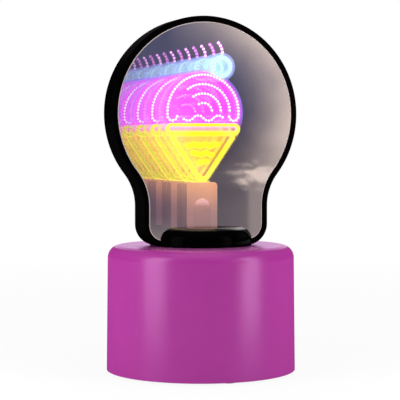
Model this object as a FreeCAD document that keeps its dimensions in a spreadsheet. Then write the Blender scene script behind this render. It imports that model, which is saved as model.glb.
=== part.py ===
import FreeCAD, Part
import math
import os
import re
import Sketcher

# Infinity mirror lamp: a flat bulb-shaped mirror box on a round base that holds the batteries.
# Millimetres, X to the right, Y away from the viewer, Z up, origin under the middle of the base.

document = FreeCAD.newDocument("InfinityMirrorLamp")
sheet = document.addObject("Spreadsheet::Sheet", "Sizes")
parts = []
vector = FreeCAD.Vector

sizes = {
    # bulb outline, seen from the front
    "head_radius": 54.0,
    "head_rise": 73.1,
    "neck_half_width": 36.3,
    "waist_radius": 28.5,
    "neck_corner_radius": 11.8,
    "head_depth": 19.6,
    "back_edge_radius": 3.0,
    "front_edge_radius": 0.8,
    # head walls, from the outer skin inwards and from the front backwards
    "shell_wall": 1.6,
    "back_wall": 1.7,
    "bezel_width": 3.2,
    "bezel_depth": 5.25,
    "ledge_width": 0.95,
    "ledge_thickness": 1.2,
    "lip_length": 1.5,
    "pane_thickness": 1.6,
    "pane_recess": 0.2,
    "pane_bevel": 0.4,
    "gasket_thickness": 0.4,
    "mirror_thickness": 1.2,
    "foam_thickness": 0.5,
    "foam_margin": 9.0,
    "liner_wall": 1.4,
    "slip_gap": 0.1,
    "web_half_width": 20.0,
    "web_rise": 8.5,
    "post_side": 16.0,
    "post_rise": 5.9,
    "post_radius": 2.3,
    # head screws
    "head_screw_radius": 0.9,
    "head_screw_head_radius": 2.0,
    "head_screw_length": 9.0,
    # foot of the head, inside the base
    "foot_half_width": 15.0,
    "foot_half_depth": 6.0,
    "foot_length": 14.4,
    # stem that carries the lit figure
    "stem_half_width": 9.0,
    "stem_front": 2.3,
    "stem_depth": 7.5,
    "stem_corner_radius": 2.0,
    "stem_flange_width": 23.0,
    "stem_flange_height": 2.0,
    "stem_plug_length": 10.0,
    "channel_radius": 4.85,
    "channel_drop": 9.0,
    "channel_depth": 3.0,
    "channel_cover": 0.9,
    # lit figure: an ice cream cone drawn in light tubes on a clear plate
    "tube_radius": 0.95,
    "tube_gap": 0.4,
    "figure_centre": 1.2,
    "plate_thickness": 2.0,
    "plate_margin": 3.0,
    "tab_half_width": 5.0,
    "tab_depth": 10.0,
    "scoop_radius": 21.0,
    "scoop_rise": 1.0,
    "scoop_tilt_angle": 6.0,
    "scoop_lip_radius": 2.8,
    "wave_half_width": 3.0,
    "wave_angle": 52.0,
    "swirl_end_angle": 128.0,
    "rim_half_length": 18.6,
    "rim_radius": 2.4,
    "cone_half_width": 18.2,
    "cone_gap": 0.85,
    "cone_height": 23.8,
    "cone_tip_radius": 3.4,
    "tip_gap": 0.65,
    "row_half_wave": 1.6,
    "row_slope_angle": 45.0,
    "row_margin": 3.0,
    "cherry_radius": 4.8,
    "cherry_angle": 66.0,
    "stalk_gap": 1.3,
    "stalk_radius": 9.0,
    "stalk_angle": 48.0,
    # collar on the base, round the foot of the head
    "collar_radius": 28.5,
    "collar_height": 10.4,
    "collar_edge_radius": 7.4,
    "collar_screw_side": 12.0,
    "collar_screw_forward": 16.0,
    "collar_screw_length": 7.0,
    # base
    "base_height": 70.5,
    "base_radius": 52.8,
    "base_draft": 0.8,
    "base_edge_radius": 6.8,
    "base_wall": 2.4,
    "rim_clearance": 1.0,
    "plate_gap": 0.3,
    "bottom_thickness": 3.0,
    "screw_boss_radius": 4.2,
    "screw_boss_height": 12.0,
    "screw_boss_sink": 0.6,
    "base_screw_radius": 1.4,
    "base_screw_head_radius": 2.5,
    "base_screw_head_height": 1.6,
    "base_screw_length": 11.0,
    # strap that holds the head down
    "strap_thickness": 2.0,
    "strap_half_depth": 7.0,
    "strap_reach": 33.0,
    "strap_boss_side": 26.0,
    "strap_boss_radius": 4.0,
    "strap_boss_length": 8.0,
    "cable_hole_radius": 3.0,
    # rubber feet
    "foot_pad_radius": 5.0,
    "foot_pad_thickness": 1.8,
    "foot_pad_margin": 1.4,
    "foot_pad_bevel": 0.45,
    # batteries and their bay
    "cell_radius": 7.1,
    "cell_length": 49.0,
    "cell_nub_radius": 2.75,
    "cell_nub_length": 1.3,
    "cell_gap": 0.4,
    "cell_clearance": 0.3,
    "bay_wall": 1.4,
    "bay_rib_width": 1.6,
    "contact_thickness": 0.4,
    "contact_width": 9.0,
    "contact_height": 9.0,
    "contact_reach": 4.7,
    "tab_rise": 2.0,
    # battery door
    "door_thickness": 1.8,
    "door_gap": 0.2,
    "door_near_gap": 0.8,
    "door_stop_width": 1.2,
    "pin_radius": 0.75,
    "pin_clearance": 0.07,
    "pin_offset": 1.2,
    "pin_height": 1.5,
    "pin_side": 14.0,
    "pin_overhang": 1.2,
    "knuckle_radius": 1.35,
    "knuckle_width": 6.0,
    "latch_half_width": 7.0,
    "latch_length": 9.0,
    "latch_slit": 0.8,
    "finger_radius": 7.0,
    "thumb_radius": 4.4,
    "finger_depth": 1.2,
    # control board and what stands on it
    "board_gap": 5.0,
    "board_thickness": 1.6,
    "board_half_width": 15.0,
    "board_overlap": 8.0,
    "board_recess": 6.1,
    "board_post_radius": 2.6,
    "board_post_side": 12.4,
    "board_post_inset": 3.6,
    "board_screw_radius": 0.9,
    "board_screw_head_radius": 1.8,
    "board_screw_length": 5.0,
    "usb_side": -5.6,
    "usb_width": 8.94,
    "usb_height": 3.2,
    "usb_length": 9.2,
    "usb_wall": 0.35,
    "usb_recess": 1.2,
    "usb_margin": 0.25,
    "switch_side": 5.0,
    "switch_width": 8.6,
    "switch_height": 3.5,
    "switch_length": 5.5,
    "switch_inset": 0.7,
    "switch_travel": 2.0,
    "knob_stem_width": 3.0,
    "knob_stem_height": 1.8,
    "knob_stem_sink": 1.9,
    "knob_cap_width": 3.8,
    "knob_cap_height": 2.6,
    "knob_gap": 0.6,
    "knob_rise": 0.5,
    "knob_bevel": 0.3,
    "chip_width": 5.0,
    "chip_length": 4.0,
    "chip_height": 1.5,
    "chip_inset": 4.0,
    "capacitor_radius": 2.5,
    "capacitor_height": 7.0,
    "capacitor_edge": 0.5,
    "capacitor_offset": 7.5,
    "connector_width": 6.0,
    "connector_length": 4.4,
    "connector_height": 6.0,
    "led_connector_side": 4.0,
    "battery_connector_side": -6.0,
    # wires
    "cable_radius": 0.9,
    "lead_radius": 0.65,
    "lead_side": 1.2,
    "lead_rise": 9.0,
    "lead_bow": 3.0,
    "bend_radius": 9.0,
}


def formula(text):
    """The text with each size's name pointed at the sheet."""
    return re.sub(r"\b[a-z]+(?:_[a-z]+)+\b", r"Sizes.\g<0>", str(text))


for row, (name, value) in enumerate(sizes.items(), 1):
    sheet.set(f"A{row}", name.replace("_", " "))
    sheet.set(f"B{row}", str(value))
    sheet.setAlias(f"B{row}", name)
document.recompute()

gauge = document.addObject("App::FeaturePython", "Gauge")
gauge.addProperty("App::PropertyFloat", "Reading")


def number(text):
    """The value of a formula, for code that has to place something by number."""
    gauge.setExpression("Reading", formula(text))
    gauge.recompute()
    return gauge.Reading


# planes and insets that several pieces share, forward of the lamp's middle plane
front_face = "(head_depth / 2)"
back_face = "(-head_depth / 2)"
pane_front = f"({front_face} - pane_recess)"
pane_back = f"({pane_front} - pane_thickness)"
ledge_front = f"({pane_back} - gasket_thickness)"
ledge_back = f"({ledge_front} - ledge_thickness)"
seam = f"({front_face} - bezel_depth)"
mirror_seat = f"({back_face} + back_wall)"
mirror_back = f"({mirror_seat} + foam_thickness)"
mirror_front = f"({mirror_back} + mirror_thickness)"
mid_gap = f"(({pane_back} + {mirror_front}) / 2)"
pane_inset = "(bezel_width + slip_gap)"
ledge_inset = "(bezel_width + ledge_width)"
liner_inset = "(shell_wall + slip_gap)"
head_centre = "(base_height + head_rise)"
web_top = "(base_height + web_rise)"
post_height = "(base_height + post_rise)"
chamber_floor = "(base_height + shell_wall)"
foot_bottom = "(base_height - foot_length)"
tube_plane = mid_gap
figure_plate_front = f"({mid_gap} - tube_radius)"
figure_plate_back = f"({figure_plate_front} - plate_thickness)"

# heights of the lit figure, from the scoop down to the stem
scoop_height = f"({head_centre} + scoop_rise)"
lip_sink = "((scoop_radius - scoop_lip_radius) * sin(scoop_tilt_angle) + scoop_lip_radius)"
rim_height = f"({scoop_height} - {lip_sink} - 2 * tube_radius - tube_gap - rim_radius)"
wave_swing = "(wave_half_width * tan(wave_angle / 2))"
wave_height = f"({rim_height} + rim_radius + 2 * tube_radius + tube_gap + {wave_swing})"
swirl_foot = f"({wave_height} + {wave_swing} + 2 * tube_radius + tube_gap)"
cone_top = f"({rim_height} - rim_radius - tube_radius - cone_gap)"
cone_tip = f"({cone_top} - cone_height)"
stem_top = f"({cone_tip} - tube_radius - tip_gap)"
channel_top = f"({stem_top} - channel_drop)"
channel_bend = f"({channel_top} - channel_radius)"
cherry_reach = "(scoop_radius + cherry_radius + 2 * tube_radius + tube_gap)"
cherry_side = f"(figure_centre + {cherry_reach} * cos(cherry_angle))"
cherry_height = f"({scoop_height} + {cherry_reach} * sin(cherry_angle))"

# heights and reaches in the base
base_under = "(base_height - base_wall)"
bottom_top = "(rim_clearance + bottom_thickness)"
base_top_radius = "(base_radius - base_draft)"
bottom_radius = "(base_radius - base_wall - plate_gap)"
foot_pad_ring = f"({bottom_radius} - foot_pad_radius - foot_pad_margin)"
boss_side = "((base_radius - base_wall - screw_boss_radius + screw_boss_sink) / sqrt(2))"
cell_pitch = "(2 * cell_radius + cell_gap)"
cell_height = "(rim_clearance + door_thickness + cell_clearance + cell_radius)"
bay_ceiling = f"({cell_height} + cell_radius + cell_clearance)"
bay_top = f"({bay_ceiling} + bay_wall)"
bay_half_width = f"({cell_pitch} + cell_radius + cell_clearance)"
bay_outer_width = f"({bay_half_width} + bay_wall)"
half_cells = "(cell_length + cell_nub_length + contact_reach) / 2"
bay_half_length = f"({half_cells} + contact_thickness + slip_gap)"
bay_outer_length = f"({bay_half_length} + bay_wall)"
pin_back = f"({bay_half_length} + pin_offset)"
pin_level = "(rim_clearance + pin_height)"
board_height = f"({bay_top} + board_gap)"
board_top = f"({board_height} + board_thickness)"
board_front = f"({bay_half_length} - board_overlap)"
board_back = "(base_radius - board_recess)"
usb_level = f"({board_top} + usb_height / 2)"
switch_level = f"({board_top} + switch_height / 2)"
post_front = f"({board_front} + board_post_inset)"
post_back = f"({board_back} - board_post_inset)"
connector_top = f"({board_top} + connector_height)"
switch_back = f"({board_back} - switch_inset)"
knob_cap_front = f"({board_back} + knob_gap)"
knob_cap_back = "(base_radius + knob_rise)"


# drawing helpers

def both(side):
    """The same place on the left and on the right."""
    return f"-{side}", side


def four_places(across, back):
    return [(left, front) for left in both(across) for front in both(back)]


def bind(item, path, text):
    item.setExpression(path, formula(text))


def new_body(label):
    body = document.addObject("PartDesign::Body", label)
    body.Label = label
    document.recompute()
    return body


def keep(item, label):
    """Marks an object as a sub-part of the lamp."""
    item.Label = label
    parts.append(item)
    return item


def sketch_on(body, role, offset):
    plane = [item for item in body.Origin.OriginFeatures if item.Role == role][0]
    sketch = body.newObject("Sketcher::SketchObject", body.Label + "_sketch")
    sketch.AttachmentSupport = [(plane, "")]
    sketch.MapMode = "FlatFace"
    bind(sketch, "AttachmentOffset.Base.z", offset)
    return sketch


def front_sketch(body, forward):
    """A sketch that is seen from the front: X to the right, Z up."""
    return sketch_on(body, "XZ_Plane", forward)


def plan_sketch(body, height):
    """A sketch that is seen from above."""
    return sketch_on(body, "XY_Plane", height)


def side_sketch(body, side):
    """A sketch that is seen from the right: Y across, Z up."""
    return sketch_on(body, "YZ_Plane", side)


def measure(sketch, text, kind, *where):
    """A dimension that is driven by the sheet."""
    index = sketch.addConstraint(Sketcher.Constraint(kind, *where, number(text)))
    name = f"{kind}{index}"
    sketch.renameConstraint(index, name)
    bind(sketch, "Constraints." + name, text)


def polygon(sketch, corners):
    """A closed outline of straight lines; each corner is a pair of formulas."""
    spots = [vector(number(across), number(up), 0) for across, up in corners]
    first = None
    for index, spot in enumerate(spots):
        ahead = spots[(index + 1) % len(spots)]
        line = sketch.addGeometry(Part.LineSegment(spot, ahead), False)
        first = line if first is None else first
    for index in range(len(spots)):
        ahead = first + (index + 1) % len(spots)
        sketch.addConstraint(Sketcher.Constraint("Coincident", first + index, 2, ahead, 1))
    for index, (across, up) in enumerate(corners):
        measure(sketch, across, "DistanceX", -1, 1, first + index, 1)
        measure(sketch, up, "DistanceY", -1, 1, first + index, 1)


def rectangle(sketch, left, bottom, right, top):
    polygon(sketch, [(left, bottom), (right, bottom), (right, top), (left, top)])


def circle(sketch, across, up, radius):
    middle = vector(number(across), number(up), 0)
    ring = Part.Circle(middle, vector(0, 0, 1), number(radius))
    ring = sketch.addGeometry(ring, False)
    measure(sketch, across, "DistanceX", -1, 1, ring, 3)
    measure(sketch, up, "DistanceY", -1, 1, ring, 3)
    measure(sketch, radius, "Radius", ring)


def slot(sketch, across, up, half_length, radius):
    """A level slot with round ends."""
    middle = vector(number(across), number(up), 0)
    reach = vector(number(half_length), 0, 0)
    rise = vector(0, number(radius), 0)
    right = Part.Circle(middle + reach, vector(0, 0, 1), rise.y)
    left = Part.Circle(middle - reach, vector(0, 0, 1), rise.y)
    right = sketch.addGeometry(Part.ArcOfCircle(right, -math.pi / 2, math.pi / 2), False)
    top = sketch.addGeometry(Part.LineSegment(middle + reach + rise, middle - reach + rise), False)
    left = sketch.addGeometry(Part.ArcOfCircle(left, math.pi / 2, 3 * math.pi / 2), False)
    low = sketch.addGeometry(Part.LineSegment(middle - reach - rise, middle + reach - rise), False)
    for start, end in ((right, top), (top, left), (left, low), (low, right)):
        sketch.addConstraint(Sketcher.Constraint("Tangent", start, 2, end, 1))
    sketch.addConstraint(Sketcher.Constraint("Horizontal", top))
    measure(sketch, radius, "Radius", right)
    measure(sketch, f"{across} + {half_length}", "DistanceX", -1, 1, right, 3)
    measure(sketch, up, "DistanceY", -1, 1, right, 3)
    measure(sketch, f"2 * {half_length}", "DistanceX", left, 3, right, 3)


def bulb(sketch, inset):
    """The bulb outline, drawn in from the outer skin by the inset."""
    inset = f"({inset})"
    radius = number(f"head_radius - {inset}")
    waist = number(f"waist_radius + {inset}")
    neck = number(f"neck_half_width - {inset}")
    corner = number(f"neck_corner_radius - {inset}")
    centre = number(head_centre)
    floor = number(f"base_height + {inset}")
    reach = neck + waist
    drop = math.sqrt((radius + waist) ** 2 - reach ** 2)
    lean = math.atan2(drop, reach)
    waist_up = centre - drop
    corner_up = floor + corner

    def arc(across, up, size, start, end):
        ring = Part.Circle(vector(across, up, 0), vector(0, 0, 1), size)
        return sketch.addGeometry(Part.ArcOfCircle(ring, start, end), False)

    def line(across, up, to_across, to_up):
        ends = vector(across, up, 0), vector(to_across, to_up, 0)
        return sketch.addGeometry(Part.LineSegment(*ends), False)

    crown = arc(0, centre, radius, -lean, math.pi + lean)
    left_waist = arc(-reach, waist_up, waist, 0, lean)
    left_side = line(-neck, waist_up, -neck, corner_up)
    left_corner = arc(corner - neck, corner_up, corner, math.pi, 1.5 * math.pi)
    bottom = line(corner - neck, floor, neck - corner, floor)
    right_corner = arc(neck - corner, corner_up, corner, 1.5 * math.pi, 2 * math.pi)
    right_side = line(neck, corner_up, neck, waist_up)
    right_waist = arc(reach, waist_up, waist, math.pi - lean, math.pi)
    joints = (
        (crown, 2, left_waist, 2),
        (left_waist, 1, left_side, 1),
        (left_side, 2, left_corner, 1),
        (left_corner, 2, bottom, 1),
        (bottom, 2, right_corner, 1),
        (right_corner, 2, right_side, 1),
        (right_side, 2, right_waist, 2),
        (right_waist, 1, crown, 1),
    )
    for joint in joints:
        sketch.addConstraint(Sketcher.Constraint("Tangent", *joint))
    sketch.addConstraint(Sketcher.Constraint("PointOnObject", crown, 3, -2))
    sketch.addConstraint(Sketcher.Constraint("Equal", left_waist, right_waist))
    sketch.addConstraint(Sketcher.Constraint("Equal", left_corner, right_corner))
    sketch.addConstraint(Sketcher.Constraint("Vertical", left_side))
    sketch.addConstraint(Sketcher.Constraint("Vertical", right_side))
    sketch.addConstraint(Sketcher.Constraint("Horizontal", bottom))
    measure(sketch, head_centre, "DistanceY", -1, 1, crown, 3)
    measure(sketch, f"head_radius - {inset}", "Radius", crown)
    measure(sketch, f"waist_radius + {inset}", "Radius", left_waist)
    measure(sketch, f"neck_corner_radius - {inset}", "Radius", left_corner)
    measure(sketch, f"neck_half_width - {inset}", "DistanceX", -1, 1, right_side, 1)
    measure(sketch, f"2 * (neck_half_width - {inset})", "DistanceX", left_side, 1, right_side, 2)
    measure(sketch, f"base_height + {inset}", "DistanceY", -1, 1, bottom, 1)


# feature helpers

def pad(body, sketch, length, reverse=False):
    feature = body.newObject("PartDesign::Pad", body.Label + "_pad")
    feature.Profile = sketch
    feature.Reversed = reverse
    bind(feature, "Length", length)
    document.recompute()
    return feature


def pocket(body, sketch, length, reverse=False):
    """Cuts backwards or downwards from the sketch, or the other way in reverse."""
    before = body.Shape.Volume
    feature = body.newObject("PartDesign::Pocket", body.Label + "_pocket")
    feature.Profile = sketch
    feature.Reversed = reverse
    bind(feature, "Length", length)
    document.recompute()
    if not body.Shape.Volume < before:
        raise RuntimeError(f"{feature.Name} cuts nothing")
    return feature


def turn(body, sketch):
    """Turns the sketch round its upright axis."""
    feature = body.newObject("PartDesign::Revolution", body.Label + "_turn")
    feature.Profile = sketch
    feature.ReferenceAxis = (sketch, ["V_Axis"])
    feature.Angle = 360
    document.recompute()
    return feature


def edges_where(shape, wanted):
    """Names of the edges whose box passes the test."""
    names = []
    for index, edge in enumerate(shape.Edges, 1):
        if wanted(edge.BoundBox):
            names.append(f"Edge{index}")
    return names


def near(one, other):
    return abs(one - other) < 0.001


def round_edges(body, base, wanted, radius):
    feature = body.newObject("PartDesign::Fillet", body.Label + "_fillet")
    feature.Base = (base, edges_where(base.Shape, wanted))
    bind(feature, "Radius", radius)
    document.recompute()
    return feature


def bevel_edges(body, base, wanted, size):
    feature = body.newObject("PartDesign::Chamfer", body.Label + "_chamfer")
    feature.Base = (base, edges_where(base.Shape, wanted))
    bind(feature, "Size", size)
    document.recompute()
    return feature


def on_front_plane(forward):
    """Tests for edges that lie in a plane facing the viewer."""
    level = -number(forward)
    return lambda box: near(box.YMin, level) and near(box.YMax, level)


def at_height(height):
    level = number(height)
    return lambda box: near(box.ZMin, level) and near(box.ZMax, level)


def group(label, items):
    """Several like pieces in one sub-part."""
    bundle = document.addObject("Part::Compound", label)
    bundle.Links = items
    return keep(bundle, label)


def place(item, across, forward, height):
    bind(item, "Placement.Base.x", across)
    bind(item, "Placement.Base.y", f"-({forward})")
    bind(item, "Placement.Base.z", height)


def walk(across, up, heading, moves):
    """Edges of a smooth path: each move is a length to run or a radius and an angle to turn."""
    spot = vector(across, up, 0)
    angle = math.radians(heading)
    edges = []
    for size, bend in moves:
        ahead = vector(math.cos(angle), math.sin(angle), 0)
        if bend == 0:
            edges.append(Part.LineSegment(spot, spot + ahead * size))
            spot = spot + ahead * size
            continue
        side = 1 if bend > 0 else -1
        middle = spot + vector(-ahead.y, ahead.x, 0) * (size * side)
        start = angle - side * math.pi / 2
        end = start + math.radians(bend)
        ring = Part.Circle(middle, vector(0, 0, 1), size)
        edges.append(Part.ArcOfCircle(ring, min(start, end), max(start, end)))
        spot = middle + vector(math.cos(end), math.sin(end), 0) * size
        angle += math.radians(bend)
    return edges


def zigzag(count, half_wave, angle):
    """Arcs that swing to and fro across a level line; the angle is the slope at the line."""
    radius = half_wave / math.sin(math.radians(abs(angle)))
    return [(radius, 2 * angle if index % 2 == 0 else -2 * angle) for index in range(count)]


def light_tube(name, edges):
    """A light tube that follows the edges on the front of the clear plate."""
    path = document.addObject("Sketcher::SketchObject", name + "_path")
    path.Placement.Rotation = FreeCAD.Rotation(vector(1, 0, 0), 90)
    bind(path, "Placement.Base.y", f"-{tube_plane}")
    for edge in edges:
        path.addGeometry(edge, False)
    return tube(name, path, len(edges), "tube_radius")


def tube(name, path, count, radius):
    document.recompute()
    section = document.addObject("Part::Circle", name + "_section")
    section.AttachmentSupport = [(path, "Edge1")]
    section.MapMode = "NormalToEdge"
    section.MapPathParameter = 0
    bind(section, "Radius", radius)
    sweep = document.addObject("Part::Sweep", name)
    sweep.Sections = [section]
    sweep.Spine = (path, [f"Edge{index}" for index in range(1, count + 1)])
    sweep.Solid = True
    document.recompute()
    return sweep


def bent_wire(name, points, radius, bend_limit):
    """A wire of straight runs and tangent bends; each point is three numbers."""
    spots = [vector(*point) for point in points]
    edges = []
    start = spots[0]
    for before, spot, after in zip(spots, spots[1:], spots[2:]):
        come = (spot - before).normalize()
        leave = (after - spot).normalize()
        half_turn = come.getAngle(leave) / 2
        shorter = min((spot - before).Length, (after - spot).Length)
        bend = min(0.45 * shorter / math.tan(half_turn), bend_limit)
        print(f"{name}: bend radius {bend:.1f}")
        back = bend * math.tan(half_turn)
        inward = (leave - come).normalize()
        depth = bend / math.cos(half_turn) - bend
        arc = Part.Arc(spot - come * back, spot + inward * depth, spot + leave * back)
        edges.append(Part.LineSegment(start, spot - come * back).toShape())
        edges.append(arc.toShape())
        start = spot + leave * back
    edges.append(Part.LineSegment(start, spots[-1]).toShape())
    path = document.addObject("Part::Feature", name + "_path")
    path.Shape = Part.Wire(edges)
    return tube(name, path, len(edges), radius)


def screw(name, radius, head_radius, head_height, length):
    """An upright screw whose head is below its seat at the origin."""
    body = new_body(name)
    profile = front_sketch(body, "0")
    polygon(profile, [
        ("0", f"-({head_height})"),
        (head_radius, f"-({head_height})"),
        (head_radius, "0"),
        (radius, "0"),
        (radius, length),
        ("0", length),
    ])
    turn(body, profile)
    return body


# head

def make_head_shell():
    body = new_body("head_shell")
    skin = front_sketch(body, back_face)
    bulb(skin, "0")
    hull = pad(body, skin, f"{seam} - {back_face}")
    round_edges(body, hull, on_front_plane(back_face), "back_edge_radius")
    hollow = front_sketch(body, seam)
    bulb(hollow, "shell_wall")
    pocket(body, hollow, f"{seam} - {mirror_seat}")
    rabbet = front_sketch(body, seam)
    bulb(rabbet, "shell_wall / 2")
    pocket(body, rabbet, "lip_length + slip_gap")
    foot = plan_sketch(body, foot_bottom)
    rectangle(foot, "-foot_half_width", "-foot_half_depth", "foot_half_width", "foot_half_depth")
    pad(body, foot, "foot_length")
    duct = plan_sketch(body, chamber_floor)
    half_width = "(stem_half_width + slip_gap)"
    rectangle(
        duct,
        f"-{half_width}", "-(stem_front + slip_gap)",
        half_width, "stem_depth - stem_front + slip_gap",
    )
    pocket(body, duct, f"{chamber_floor} - {foot_bottom} + slip_gap")
    holes = front_sketch(body, mirror_seat)
    for side in both("post_side"):
        circle(holes, side, post_height, "head_screw_radius + slip_gap")
    pocket(body, holes, "back_wall + slip_gap")
    sinks = front_sketch(body, f"{back_face} + back_wall / 2")
    for side in both("post_side"):
        circle(sinks, side, post_height, "head_screw_head_radius + slip_gap")
    pocket(body, sinks, "back_wall")
    keep(body, "head_shell")


def make_front_bezel():
    body = new_body("front_bezel")
    skin = front_sketch(body, seam)
    bulb(skin, "0")
    hull = pad(body, skin, "bezel_depth")
    round_edges(body, hull, on_front_plane(front_face), "front_edge_radius")
    window = front_sketch(body, front_face)
    bulb(window, "bezel_width")
    pocket(body, window, f"{front_face} - {ledge_front}")
    web_window = front_sketch(body, ledge_front)
    bulb(web_window, ledge_inset)
    pocket(body, web_window, "bezel_depth")
    hollow = front_sketch(body, seam)
    bulb(hollow, "shell_wall")
    pocket(body, hollow, f"{ledge_back} - {seam}", reverse=True)
    lip = front_sketch(body, f"{seam} - lip_length")
    bulb(lip, "shell_wall / 2 + slip_gap / 2")
    bulb(lip, "shell_wall")
    pad(body, lip, "lip_length")
    lip_gap = front_sketch(body, seam)
    rectangle(
        lip_gap,
        "-(stem_half_width + slip_gap)", "base_height",
        "stem_half_width + slip_gap", f"{chamber_floor} + slip_gap",
    )
    pocket(body, lip_gap, "lip_length")
    web = front_sketch(body, ledge_back)
    rectangle(
        web,
        "-web_half_width", "base_height + shell_wall / 2",
        "web_half_width", web_top,
    )
    pad(body, web, "ledge_thickness")
    posts = front_sketch(body, mirror_seat)
    for side in both("post_side"):
        circle(posts, side, post_height, "post_radius")
    pad(body, posts, f"{ledge_back} - {mirror_seat}")
    holes = front_sketch(body, f"{mirror_seat} + head_screw_length")
    for side in both("post_side"):
        circle(holes, side, post_height, "head_screw_radius + slip_gap / 2")
    pocket(body, holes, "head_screw_length")
    keep(body, "front_bezel")


def make_panes():
    pane = new_body("front_mirror_pane")
    outline = front_sketch(pane, pane_back)
    bulb(outline, pane_inset)
    glass = pad(pane, outline, "pane_thickness")
    bevel_edges(pane, glass, on_front_plane(pane_front), "pane_bevel")
    keep(pane, "front_mirror_pane")

    gasket = new_body("pane_gasket")
    ring = front_sketch(gasket, ledge_front)
    bulb(ring, pane_inset)
    bulb(ring, ledge_inset)
    pad(gasket, ring, "gasket_thickness")
    keep(gasket, "pane_gasket")

    mirror = new_body("back_mirror")
    outline = front_sketch(mirror, mirror_back)
    bulb(outline, liner_inset)
    pad(mirror, outline, "mirror_thickness")
    notches = front_sketch(mirror, mirror_front)
    for side in both("post_side"):
        circle(notches, side, post_height, "post_radius + cell_clearance")
    pocket(mirror, notches, "mirror_thickness")
    keep(mirror, "back_mirror")

    foam = new_body("mirror_foam")
    outline = front_sketch(foam, mirror_seat)
    bulb(outline, "foam_margin")
    pad(foam, outline, "foam_thickness")
    keep(foam, "mirror_foam")


def make_chamber_liner():
    body = new_body("chamber_liner")
    ring = front_sketch(body, mirror_front)
    bulb(ring, liner_inset)
    bulb(ring, f"({liner_inset} + liner_wall)")
    pad(body, ring, f"{ledge_back} - {mirror_front}")
    gap = front_sketch(body, ledge_back)
    rectangle(
        gap,
        "-(stem_flange_width / 2 + slip_gap)", "base_height",
        "stem_flange_width / 2 + slip_gap", web_top,
    )
    pocket(body, gap, f"{ledge_back} - {mirror_front}")
    keep(body, "chamber_liner")


def make_head_screws():
    screws = []
    for index, side in enumerate(both("post_side"), 1):
        item = screw(
            f"head_screw_{index}", "head_screw_radius", "head_screw_head_radius",
            "back_wall / 2", "head_screw_length",
        )
        item.Placement.Rotation = FreeCAD.Rotation(vector(1, 0, 0), 90)
        place(item, side, f"{back_face} + back_wall / 2", post_height)
        screws.append(item)
    group("head_screws", screws)


# stem and lit figure

def make_stem():
    body = new_body("light_stem")
    front = front_sketch(body, "stem_front - stem_depth")
    rectangle(
        front,
        "-stem_half_width", f"{chamber_floor} - stem_plug_length",
        "stem_half_width", stem_top,
    )
    block = pad(body, front, "stem_depth")
    top = number(stem_top)
    round_edges(
        body, block,
        lambda box: near(box.ZMin, top) and near(box.XMin, box.XMax),
        "stem_corner_radius",
    )
    flange = plan_sketch(body, chamber_floor)
    rectangle(
        flange,
        "-stem_flange_width / 2", "-(stem_front + slip_gap)",
        "stem_flange_width / 2", "stem_depth - stem_front + slip_gap",
    )
    pad(body, flange, "stem_flange_height")
    channel = front_sketch(body, "stem_front + slip_gap")
    circle(channel, "0", channel_bend, "channel_radius")
    pocket(body, channel, "channel_depth + slip_gap")
    trough = front_sketch(body, "stem_front + slip_gap")
    rectangle(
        trough,
        "-channel_radius", f"{chamber_floor} - stem_plug_length",
        "channel_radius", channel_bend,
    )
    pocket(body, trough, "channel_depth + slip_gap")
    notch = plan_sketch(body, stem_top)
    rectangle(
        notch,
        "-(tab_half_width + slip_gap)", f"-({figure_plate_front} + slip_gap)",
        "tab_half_width + slip_gap", f"-({figure_plate_back} - slip_gap)",
    )
    pocket(body, notch, "tab_depth + slip_gap")
    keep(body, "light_stem")

    cover = new_body("stem_cover")
    dome = front_sketch(cover, "stem_front - channel_cover")
    circle(dome, "0", channel_bend, "channel_radius - slip_gap")
    pad(cover, dome, "channel_cover")
    strip = front_sketch(cover, "stem_front - channel_cover")
    rectangle(
        strip,
        "-(channel_radius - slip_gap)", f"{chamber_floor} + stem_flange_height",
        "channel_radius - slip_gap", channel_bend,
    )
    pad(cover, strip, "channel_cover")
    keep(cover, "stem_cover")


def make_figure_plate():
    """The clear plate follows the figure, so it has no outline of its own to see."""
    body = new_body("figure_plate")
    scoop = front_sketch(body, figure_plate_back)
    circle(scoop, "figure_centre", scoop_height, "scoop_radius + plate_margin")
    pad(body, scoop, "plate_thickness")
    half_width = "(cone_half_width + plate_margin)"
    shoulder = f"{rim_height} + rim_radius + plate_margin"
    cone = front_sketch(body, figure_plate_back)
    polygon(cone, [
        ("-tab_half_width", f"{stem_top} - tab_depth"),
        ("tab_half_width", f"{stem_top} - tab_depth"),
        ("tab_half_width", f"{stem_top} + slip_gap"),
        (f"figure_centre + {half_width}", cone_top),
        (f"figure_centre + {half_width}", shoulder),
        (f"figure_centre - {half_width}", shoulder),
        (f"figure_centre - {half_width}", cone_top),
        ("-tab_half_width", f"{stem_top} + slip_gap"),
    ])
    pad(body, cone, "plate_thickness")
    cherry = front_sketch(body, figure_plate_back)
    circle(cherry, cherry_side, cherry_height, "cherry_radius + plate_margin")
    pad(body, cherry, "plate_thickness")
    keep(body, "figure_plate")


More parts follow.
